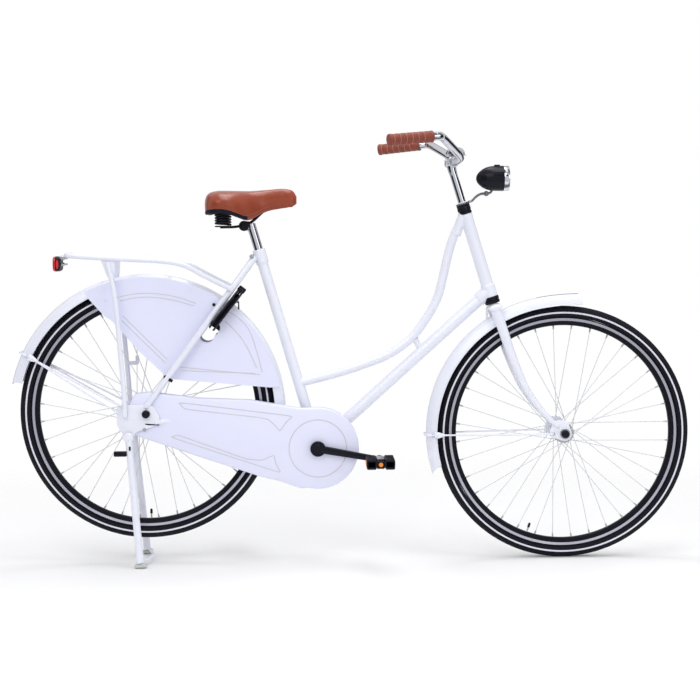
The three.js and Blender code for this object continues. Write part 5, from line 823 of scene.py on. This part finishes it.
def rear_lamp():
    s = Shape()
    s.box((-788, 0, 845.6), (22, 56, 8), 2)
    for side in SIDES:
        for z in (842, 826):
            s.rod((-794, side * 20, z), (-781, side * 20, z), 2.2, 14, 0.5)
            s.rod((-793.5, side * 20, z), (-789.5, side * 20, z), 4.6, 6, 0.6)
    s.build("rear_lamp_bracket", "frame", STEEL)
    s.skin([[(-794 - push, y * grow, LAMP_Z + z * grow) for y, z in oval(40, 20.5, 44)]
            for push, grow in ((0, 0.62), (0.8, 0.8), (3, 0.94), (7, 1), (13.5, 1))])
    s.build("rear_lamp_body", "frame", PLASTIC)
    s.skin([[(-807.5 - push, y * grow, LAMP_Z + z * grow) for y, z in oval(40.6, 21, 44)]
            for push, grow in ((0, 1), (2.5, 1), (5, 0.985), (6.4, 0.93), (7.2, 0.7))])
    for side in SIDES:
        s.skin([[(-801.2 + x, side * depth, 826.5 + z) for x, z in oval(3.6, 12.5, 24, 2.0)]
                for depth in (39.2, 41.2)])
    s.build("rear_lamp_lens", "frame", RED, "rear_light", sharp=60)


def oval(half_wide, half_high, count, power=4.0):
    """Round outline that is squarer the higher the power."""
    result = []
    for k in range(count):
        t = 2 * math.pi * k / count
        c, s = math.cos(t), math.sin(t)
        size = (abs(c) ** power + abs(s) ** power) ** (-1 / power)
        result.append((half_wide * c * size, half_high * s * size))
    return result


# Routes of the raised lines on the coat guards, drawn grey as painted shade along the ribs
COAT_RIB_LINES = [
    [(-640, 736), (-593, 745), (-546, 746), (-484, 737), (-426, 718)],
    [(-632, 726), (-593, 734), (-551, 736), (-489, 727), (-432, 711)],
    [(-625, 685), (-566, 625), (-507, 566)], [(-628, 672), (-570, 614), (-512, 556)],
    [(-473, 544), (-364, 532), (-254, 521)], [(-465, 534), (-366, 529), (-267, 525)],
    [(-342, 697), (-310, 677), (-283, 645), (-266, 600), (-247, 528)],
    [(-346, 668), (-311, 632), (-284, 589), (-262, 540)]]


def coat_guards():
    for hand, side in HANDS:
        keep("coat_guard_" + hand, SKIRT, 0.5)
        s = Shape()
        face = side * 37.7
        # Raised lines on the coat guard, grey in the same painted rib shade as the chaincase lines
        for line in COAT_RIB_LINES:
            s.tube([(x, face, z) for x, z in line], (1.1, 0.45), 40, sides=10, round_end=0.7)
        s.build("coat_guard_lines_" + hand, "frame", RIB_SHADE)
        low = polar(REAR, 271, 52)
        high = polar(REAR, 296, 52)
        ring = []
        for centre, start in ((high, -38), (low, 142)):
            ring += [polar(centre, 22, start + 15 * k, side * 36.8) for k in range(13)]
        s.tube(ring, 1.5, 72, sides=10, loop=True)
        s.build("coat_guard_eyelet_" + hand, "frame", SKIRT)


# Ring lock
LOCK_OUT = Vector((0.615661, 0, 0.788011))
LOCK_TURN = Vector((0.788011, 0, -0.615661))
LOCK_CENTRE = Vector((-351.75, 0, 689.87))


def lock_point(radius, angle, aside):
    """Point of the lock's ring by radius, angle from its top and distance off its plane."""
    t = math.radians(angle)
    return LOCK_CENTRE + LOCK_OUT * radius * math.cos(t) - Y * radius * math.sin(t) + LOCK_TURN * aside


def ring_lock():
    s = Shape()
    inner, outer, half = 53, 78, 9.5
    bolt, channel, lips = 65.5, 5.6, 3.8
    section = mirrored([(inner, 2 - half), (inner + 2, -half), (outer - 5, -half), (outer - 1.5, 1.8 - half),
                        (outer, 5 - half), (outer, -lips), (70, -lips), (bolt + channel - 1, -channel),
                        (bolt - channel, -channel)])
    s.skin([[lock_point(r, -134 + 268 * i / 72, a) for r, a in section] for i in range(73)])
    s.box(LOCK_CENTRE + LOCK_OUT * 80.5, (22, 46, 14), 3, Matrix((LOCK_TURN, -Y, LOCK_OUT)).transposed())
    s.build("ring_lock_case", "frame", PLASTIC, "ring_lock", sharp=30)
    keyhole = lock_point(66, 42, 9.3)
    s.rod(keyhole, keyhole + LOCK_TURN * 2.2, 6, 28, 0.6)
    s.build("ring_lock_cylinder", "frame", STEEL)
    key = keyhole + LOCK_TURN * 2
    s.tube([key, key + LOCK_TURN * 4], (2.6, 1.2), 4, Y, 12, curve=False, round_end=1)
    hang = key + LOCK_TURN * 4 + Z * 3
    s.tube([hang, hang - Z * 6, hang - Z * 14, hang - Z * 20], lambda t: (1.4 + 0.9 * t, 1.2), 20, Y, 14,
           round_end=1.2)
    s.build("ring_lock_key", "frame", DARK, slot="black_plastic")
    s.tube([lock_point(bolt, 17 + 114 * k / 40, 0) for k in range(41)], 4, 40, LOCK_TURN, 18, curve=False,
           round_end=2)
    knob = 28
    s.rod(lock_point(bolt, knob, 0), lock_point(86, knob, 0), 3, 16, 0.6)
    s.tube([lock_point(84, knob, 0), lock_point(93, knob, 0)], 5.2, 2, LOCK_TURN, 18, curve=False, round_end=2)
    s.build("ring_lock_bolt", "shackle", BLACK, "ring_lock_shackle", "plain_steel")


# Stand
def stand():
    s = Shape()
    pivot = Vector((-612.15, 0, 355))
    foot_x = -582.15
    foot_side = 103
    for side in SIDES:
        top = at(pivot, side * 76)
        ankle = Vector((foot_x, side * foot_side, 16))
        line = [top, top.lerp(ankle, 0.35), top.lerp(ankle, 0.7), ankle]
        s.tube(line, lambda t: (9 + 1.6 * t, 9), 40, Y, 24)
    s.tube([(foot_x, -foot_side, 18), (foot_x + 13, -68.7, 18), (foot_x + 26, 0, 18), (foot_x + 13, 68.7, 18),
            (foot_x, foot_side, 18)], 5, 50, Z, 16)
    studs(s, pivot, 67, 85, 13.5, 32, 2)
    studs(s, pivot, 58.5, 76, 6, 20, 0.4)
    s.build("stand_legs", "kickstand", PAINT, "stand")
    for side in SIDES:
        s.tube([(foot_x - 13, side * foot_side, 5.5), (foot_x + 15, side * foot_side, 8.5)],
               lambda t: (5.2 + 1.2 * t, 9.5), 12, Y, 24, curve=False, round_end=3)
    s.build("stand_feet", "kickstand", PALE)
    s.box((-634, -80.5, 311.5), (35, 17, 14), 3)
    for k in range(3):
        s.box((-646 + 9 * k, -89.2, 311.5), (3, 2, 11), 0.7)
    s.box((-607.5, -87.2, 326.5), (5, 4, 11), 1)
    s.build("stand_rubber", "kickstand", PLASTIC)
    studs(s, pivot, 84, 87, 6, 6, 0.8)
    s.build("stand_bolts", "kickstand", PAINT)


# Head lamp
def head_lamp():
    nose = Vector((344.9, 0, 1054.1))
    s = Shape()
    s.stack([(0.2, 0), (5, 0.6), (11, 3), (18, 8.5), (25, 17), (30, 27), (33, 38), (34.2, 50), (34.6, 66),
             (34.6, 75), (33, 76)], nose, X, 64)
    s.stack([(7, -2.5), (8.5, 1), (7.5, 3.5)], nose + Z * 34 + X * 58, Z, 24)
    s.build("head_lamp_shell", "fork", BLACK, "headlight", "black_plastic", sharp=50)
    s.stack([(31, 75.5), (33.2, 76), (33.9, 78), (33.9, 88), (33, 90.4), (31, 90.6), (30.4, 88), (28.5, 86)], nose, X,
            72, loop=True)
    s.build("head_lamp_ring", "fork", CHROME)
    s.stack([(30.6, 80), (30.6, 87), (26, 89), (17, 90.4), (8, 90.9), (0.2, 91)], nose, X, 64)
    for k in range(-5, 6):
        middle = nose + X * 90.2 + Y * k * 4.8
        half = math.sqrt(27 ** 2 - (k * 4.8) ** 2)
        s.rod(middle - Z * half, middle + Z * half, 0.8, 8, 0.2)
    s.build("head_lamp_lens", "fork", GLASS, sharp=60)
    up = steer(HEAD_HIGH)
    s.stack([(13.8, 27.4), (18.8, 27.4), (18.8, 31.2), (13.8, 31.2)], up, STEER_UP, 40, loop=True)
    start = steer(HEAD_HIGH + 29.3, 17)
    eye = Vector((373, 0, 1012.7))
    line = [start, start + Vector((9, 0, 2.5)), Vector((343.5, 0, 1003)), Vector((356, 0, 1011)), eye]
    s.tube(line, lambda t: (3.1 + 0.6 * t, 9.5 - 6.9 * t), 40, Y, 16)
    s.stack(mirrored([(3.4, -2.8), (7.2, -2.8)]), eye, Y, 32, loop=True)
    s.rod(eye - Y * 5, eye + Y * 5, 2.9, 6, 0.5)
    s.tube([eye + X * 5, eye + Vector((12, 0, 3)), nose + Vector((45, 0, -30.5))], (3.2, 4.5), 16, Y, 14)
    s.build("head_lamp_bracket", "fork", STRAP)


# Stem, handlebar, grips and bell
CLAMP = Vector((281.6, 0, 1100.1))


def stem():
    s = Shape()
    s.tube([steer(HEAD_HIGH - 60), steer(HEAD_HIGH + 60), steer(796)], 11, 8, sides=36, curve=False)
    s.tube([steer(770), steer(784), steer(797, 3), CLAMP - STEER_UP * 8], lambda t: (11 + 2.5 * t, 11 + 2 * t), 24,
           Y, 32)
    s.stack(mirrored([(12, -22), (15.2, -21.4), (16, -20)]), CLAMP, Y, 44)
    back = CLAMP - X * 17 - Z * 3
    s.box(back, (12, 30, 18), 3)
    s.rod(back - Z * 12, back + Z * 13, 4.6, 6, 0.8)
    s.rod(steer(803, -1), steer(813, -1), 6.2, 24, 1)
    s.build("stem_swan", "stem", CHROME, "stem")


BAR_HALF = [(281.6, 8.2, 1100.1), (281.6, 24, 1100.1), (284.2, 46, 1100.8), (290.2, 72, 1103), (293, 88, 1107),
            (290, 102, 1113), (277, 128, 1124), (252.5, 177, 1143), (237.5, 207, 1154), (227.8, 224.7, 1158.6),
            (214.4, 229.5, 1157.9), (160.8, 248.6, 1152.9), (93.7, 272.5, 1146.6)]


def handlebar():
    s = Shape()
    s.tube(on_side(BAR_HALF[::-1], -1) + BAR_HALF, 11, 200, Z, 32)
    for side in SIDES:
        s.stack(mirrored([(11, -3), (12.2, -2)]), at(CLAMP, side * 27), Y, 36)
    s.build("handlebar_tube", "bar", CHROME, "handlebar")
    length = 126
    for hand, side in HANDS:
        start = Vector((227.8, side * 224.7, 1159.2))
        end = Vector((89.6, side * 274, 1146.3))
        aim = (end - start).normalized()
        base = end - aim * length
        panels = [12 + 17 * k for k in range(6)]
        profile = [(11.6, 0), (14.6, 0.4), (15.8, 2), (15.7, 6), (14.8, 8)]
        for low in panels:
            profile += [(14.9 + 0.25 * (low > panels[2]), low), (15.4, low + 7), (14.8, low + 14), (14.2, low + 15.5)]
        profile += [(15.2, 116), (16, 119), (16, 123), (14.6, length - 0.6), (9, length), (0.3, length)]
        s.stack(profile, base, aim, 48)
        s.build("grip_sleeve_" + hand, "bar", GRIP, "grip_" + hand, sharp=60)
        for low in panels:
            seam = low + 15.5
            s.stack([(14.1, seam - 0.9), (15, seam - 0.5), (15.2, seam), (15, seam + 0.5), (14.1, seam + 0.9)],
                    base, aim, 40, loop=True)
        under = aim.cross(Z).normalized()
        down = aim.cross(under)
        down = down if down.z < 0 else -down
        for k in range(27):
            spot = base + aim * (9 + 4 * k) + (down * 0.8 + under * side * -0.6).normalized() * 15
            s.rod(spot, spot + aim * 2.6 + under * 0.8, 0.55, 8, 0.2)
        s.build("grip_stitches_" + hand, "bar", THREAD)


def bell():
    centre = Vector((295.4, 83.8, 1106.5))
    base = centre + Z * 17
    s = Shape()
    s.stack(mirrored([(11.5, -7.5), (13.5, -7)]), centre, Y, 36)
    s.rod(centre, base + Z * 5, 5, 20, 0.5)
    s.stack([(26, 0), (27, 0.6), (26.9, 3), (26, 8), (23.5, 13), (19, 16.6), (12, 19), (5, 19.9), (4.6, 20.6),
             (2.4, 20.9), (0.2, 21)], base, Z, 56)
    s.build("bell_dome", "bar", CHROME, "bell", "black_paint", sharp=50)
    s.box(centre + X * 18.3 + Z * 15.2, (26, 8, 2.6), 1.1)
    s.build("bell_thumb_lever", "lever", CHROME, "bell_lever", "black_paint")


# Saddle and its frame
def saddle_row(share):
    """Smooth (width, top, edge, hollow) of SADDLE_ROWS at a share of the saddle's length."""
    rows = SADDLE_ROWS[:1] + SADDLE_ROWS + SADDLE_ROWS[-1:]
    i = next(k for k in range(1, len(rows) - 2) if share <= rows[k + 1][0])
    a, b, c, d = rows[i - 1:i + 3]
    span = c[0] - b[0]
    result = []
    for k in range(1, len(b)):
        leave = (c[k] - a[k]) / (c[0] - a[0]) * span
        arrive = (d[k] - b[k]) / (d[0] - b[0]) * span
        result.append(hermite(b[k], leave, c[k], arrive, (share - b[0]) / span))
    return result


SADDLE_REAR = -399.0
SADDLE_LENGTH = 250
SADDLE_BASE = 945.35
SADDLE_RISE = 83
SADDLE_HALF = 102.5
SADDLE_LEATHER = 0.6
COIL_TURNS = 4
COIL_STEPS = 40
COIL_RADIUS = 17.5
COIL_RISE = 29
SADDLE_CLAMP = Vector((-293.7, 0, 928.1))


def saddle_ring(share):
    wide, top, edge, hollow = saddle_row(share)
    half = wide * SADDLE_HALF + SADDLE_LEATHER
    low = SADDLE_BASE + edge * SADDLE_RISE
    high = SADDLE_BASE + top * SADDLE_RISE + SADDLE_LEATHER
    section = [(s, low + (high - low) * r) for s, r in SADDLE_SECTION]
    section += [(s, low + 22 * max(0, hollow) * r) for s, r in SADDLE_HOLLOW]
    whole = section + [(-s, z) for s, z in section[1:-1][::-1]]
    return spline([(SADDLE_REAR + share * SADDLE_LENGTH, s * half, z) for s, z in whole], 96, closed=True)


def saddle_edge(share, side, push=1.0):
    """Point a little above the lower edge of the cover, where the piping and the trim lie."""
    wide, top, edge, _ = saddle_row(share)
    return Vector((SADDLE_REAR + share * SADDLE_LENGTH, side * wide * SADDLE_HALF * 0.975 * push,
                   SADDLE_BASE + (edge + (top - edge) * 0.17) * SADDLE_RISE))


def saddle():
    s = Shape()
    shares = [0, 0.004, 0.01] + [0.018 + 0.972 * k / 84 for k in range(85)] + [0.995, 1]
    s.skin([saddle_ring(share) for share in shares])
    pad = s.build("saddle_pad", "seat", LEATHER, "saddle", sharp=180)
    soften = pad.modifiers.new("smooth_ends", "SMOOTH")
    soften.factor = 0.5
    soften.iterations = 3
    spread = [0.03 + 0.93 * k / 60 for k in range(61)]
    for side in SIDES:
        s.tube([saddle_edge(share, side, 1.004) for share in spread], 1.5, 90, Z, 10, round_end=1)
    s.build("saddle_piping", "seat", LEATHER)
    for side in SIDES:
        line = spline([saddle_edge(share, side, 1.006) + Z * 5.5 for share in spread], 84)
        for a, b in zip(line[::2], line[1::2]):
            s.rod(a, a.lerp(b, 0.75), 0.6, 8, 0.2)
    s.build("saddle_stitches", "seat", THREAD)


def saddle_frame():
    s = Shape()
    rail = [(0, 1, 0), (0.14, 0.68, 0), (0.3, 0.36, 0.1), (0.42, 0.33, 0.3), (0.55, 0.28, 0.74), (0.64, 0.22, 1.02),
            (0.78, 0.19, 1.14), (0.92, 0.14, 1.16), (1, 0, 1.16)]
    wire = 3.5
    spring_side = 62
    spring_foot = SADDLE_BASE + 0.22 * SADDLE_RISE - 34.35
    spring_x = SADDLE_REAR + 48
    level = spring_foot - 0.7 - wire
    half = [Vector((spring_x + p * 188, side * spring_side, level + r * 49)) for p, side, r in rail]
    s.tube(half + [at(p, -p.y) for p in half[:-1][::-1]], wire, 140, Z, 14)
    for side in SIDES:
        place = Vector((spring_x, side * spring_side, 0))
        s.rod(place + Z * (spring_foot - 4.35), place + Z * (spring_foot - 0.35), 20, 40, 1.2)
        s.rod(place + Z * (spring_foot - 8), place + Z * (spring_foot - 4), 6, 6, 0.8)
    studs(s, SADDLE_CLAMP, 13.4, 26, 14, 40, 1.6)
    studs(s, SADDLE_CLAMP, 26, 29, 6.5, 6, 0.8)
    s.build("saddle_rails", "seat", BLACK, "saddle_frame")
    for hand, side in HANDS:
        coil = []
        for i in range(COIL_STEPS * COIL_TURNS + 1):
            t = 2 * math.pi * i / COIL_STEPS
            coil.append((spring_x + COIL_RADIUS * math.cos(t), side * spring_side + COIL_RADIUS * math.sin(t),
                         spring_foot + 2.5 + COIL_RISE * i / (COIL_STEPS * COIL_TURNS)))
        s.tube(coil, 3, len(coil), Z, 14, curve=False, round_end=1.5)
        s.build("saddle_coil_" + hand, "seat", BLACK, "saddle_spring_" + hand)
    spread = [0.02 + 0.44 * k / 30 for k in range(31)]
    for side in SIDES:
        line = [saddle_edge(share, side, 0.985) - Z * 6.5 for share in spread]
        s.tube(line, lambda t: (6.8 - 1.8 * t, 3.0), 50, Y, 14, round_end=2)
    rear = [saddle_edge(0.03, side, push) - Z * 6.5 for side, push in
            ((-1, 0.98), (-1, 0.6), (-1, 0.2), (1, 0.2), (1, 0.6), (1, 0.98))]
    s.tube(rear, (5.5, 3), 30, X, 14)
    s.build("saddle_base_trim", "seat", PLASTIC)


def seatpost():
    s = Shape()
    s.tube([seat(448), seat(568), seat(628), seat(641)], 12.5, 8, sides=40, curve=False)
    s.tube([seat(625), seat(634, -4), SADDLE_CLAMP], lambda t: (12.5 + 1.5 * t, 12.5 - 3 * t), 16, Y, 28)
    s.rod(at(SADDLE_CLAMP, -13), at(SADDLE_CLAMP, 13), 14, 36, 1)
    s.build("seatpost_tube", "post", CHROME, "seatpost")


# Floor, light and camera
def facing(place, target, front):
    """Turn that points the front axis of something at a place to its target."""
    return (Vector(target) - Vector(place)).to_track_quat(front, "Y").to_euler()


def studio():
    bpy.ops.mesh.primitive_plane_add(size=30, location=(0, 0, 0))
    floor = bpy.context.object
    floor.name = "studio_floor"
    ground = bpy.data.materials.new("floor_white")
    make = node_maker(ground)
    place = make("TexCoord", "Object")
    grain = make("TexNoise", Vector=place, Scale=6.0, Detail=3.0)
    tone = make("Mix", data_type="RGBA", Factor=grain, A=(0.87, 0.87, 0.875, 1), B=(0.885, 0.885, 0.89, 1))
    away = make("VectorMath", operation="MULTIPLY", input_0=place, input_1=(0.42, 0.52, 0))
    reach = make("VectorMath", operation="LENGTH", input_0=away)
    fade = make("MapRange", interpolation_type="SMOOTHSTEP", Value=reach, From_Min=0.4, From_Max=1.15)
    matt = make("BsdfDiffuse", Color=tone)
    make("OutputMaterial", Surface=make("MixShader", Fac=fade, input_1=matt, input_2=make("BsdfTransparent")))
    floor.data.materials.append(ground)

    world = bpy.data.worlds.new("studio_air")
    bpy.context.scene.world = world
    make = node_maker(world)
    rise = make("SeparateXYZ", "Z", Vector=make("TexCoord", "Generated"))
    tones = ramp(make, make("MapRange", Value=rise, From_Min=-1), (
        (0, (0.88, 0.89, 0.92)), (0.46, (0.84, 0.84, 0.8736)), (0.54, (0.9, 0.9, 0.936)), (1, (1, 1, 1))))
    air = make("Background", Color=tones, Strength=0.76)
    white = make("Background", Color=(1, 1, 1, 1), Strength=1.0)
    seen = make("LightPath", "Is Camera Ray")
    make("OutputWorld", Surface=make("MixShader", Fac=seen, input_1=air, input_2=white))

    for name, size, power, place, target in (
            ("soft_key", (3.2, 2.4), 58, (-1.6, -3.4, 3.4), (0, 0, 0.5)),
            ("soft_top", (3.2, 1.0), 50, (0.3, 0.1, 3.6), (0, 0, 0.4)),
            ("soft_fill", (2.6, 2.2), 20, (3.0, -2.6, 1.8), (0.1, 0, 0.6))):
        light = bpy.data.lights.new(name, "AREA")
        light.shape = "RECTANGLE"
        light.size, light.size_y = size
        light.energy = power
        holder = bpy.data.objects.new(name, light)
        bpy.context.scene.collection.objects.link(holder)
        holder.location = place
        holder.rotation_euler = facing(place, target, "-Z")
    # Dark cards that only reflections see, for the stripes in the chrome, which also has painted reflection bands in
    # its base colour
    for name, size, place in (
            ("left", (3.2, 3.8), (-3.4, -2.4, 1.3)), ("right", (2.8, 3.8), (3.6, -1.7, 1.3)),
            ("high", (3.8, 1.3), (0.2, -4.4, 3.2)), ("back_left", (1.4, 2.8), (-2.8, 2.6, 1.6)),
            ("back", (1.2, 2.2), (0.9, 3.9, 2.0)), ("back_right", (1.4, 2.4), (3.2, 2.2, 0.8))):
        bpy.ops.mesh.primitive_plane_add(size=1, location=place)
        panel = bpy.context.object
        panel.name = "dark_card_" + name
        panel.scale = (*size, 1)
        panel.rotation_euler = facing(place, (0, 0, 0.9), "Z")
        panel.data.materials.append(DARK)
        panel.visible_camera = panel.visible_diffuse = panel.visible_shadow = False


def camera():
    eye = bpy.data.cameras.new("view")
    eye.sensor_width = 36
    eye.lens = 86.04
    eye.clip_end = 200
    holder = bpy.data.objects.new("view", eye)
    bpy.context.scene.collection.objects.link(holder)
    yaw, pitch, roll = 0.0274, 0.0734, -0.0064
    ahead = Vector((math.sin(yaw) * math.cos(pitch), math.cos(yaw) * math.cos(pitch), -math.sin(pitch)))
    right = Vector((math.cos(yaw), -math.sin(yaw), 0))
    up = right.cross(ahead)
    right, up = (right * math.cos(roll) + up * math.sin(roll), up * math.cos(roll) - right * math.sin(roll))
    turn = Matrix((right, up, -ahead)).transposed().to_4x4()
    holder.matrix_world = Matrix.Translation((-0.13145, -4.614, 0.9233)) @ turn
    bpy.context.scene.camera = holder
    bpy.context.scene.view_settings.view_transform = "Standard"


for part in (head_tube, frame_tubes, small_bolts, headset, fork, wheels, drive, mudguards, carrier, rear_lamp,
             coat_guards, ring_lock, stand, head_lamp, stem, handlebar, bell, saddle, saddle_frame, seatpost,
             studio, camera):
    part()
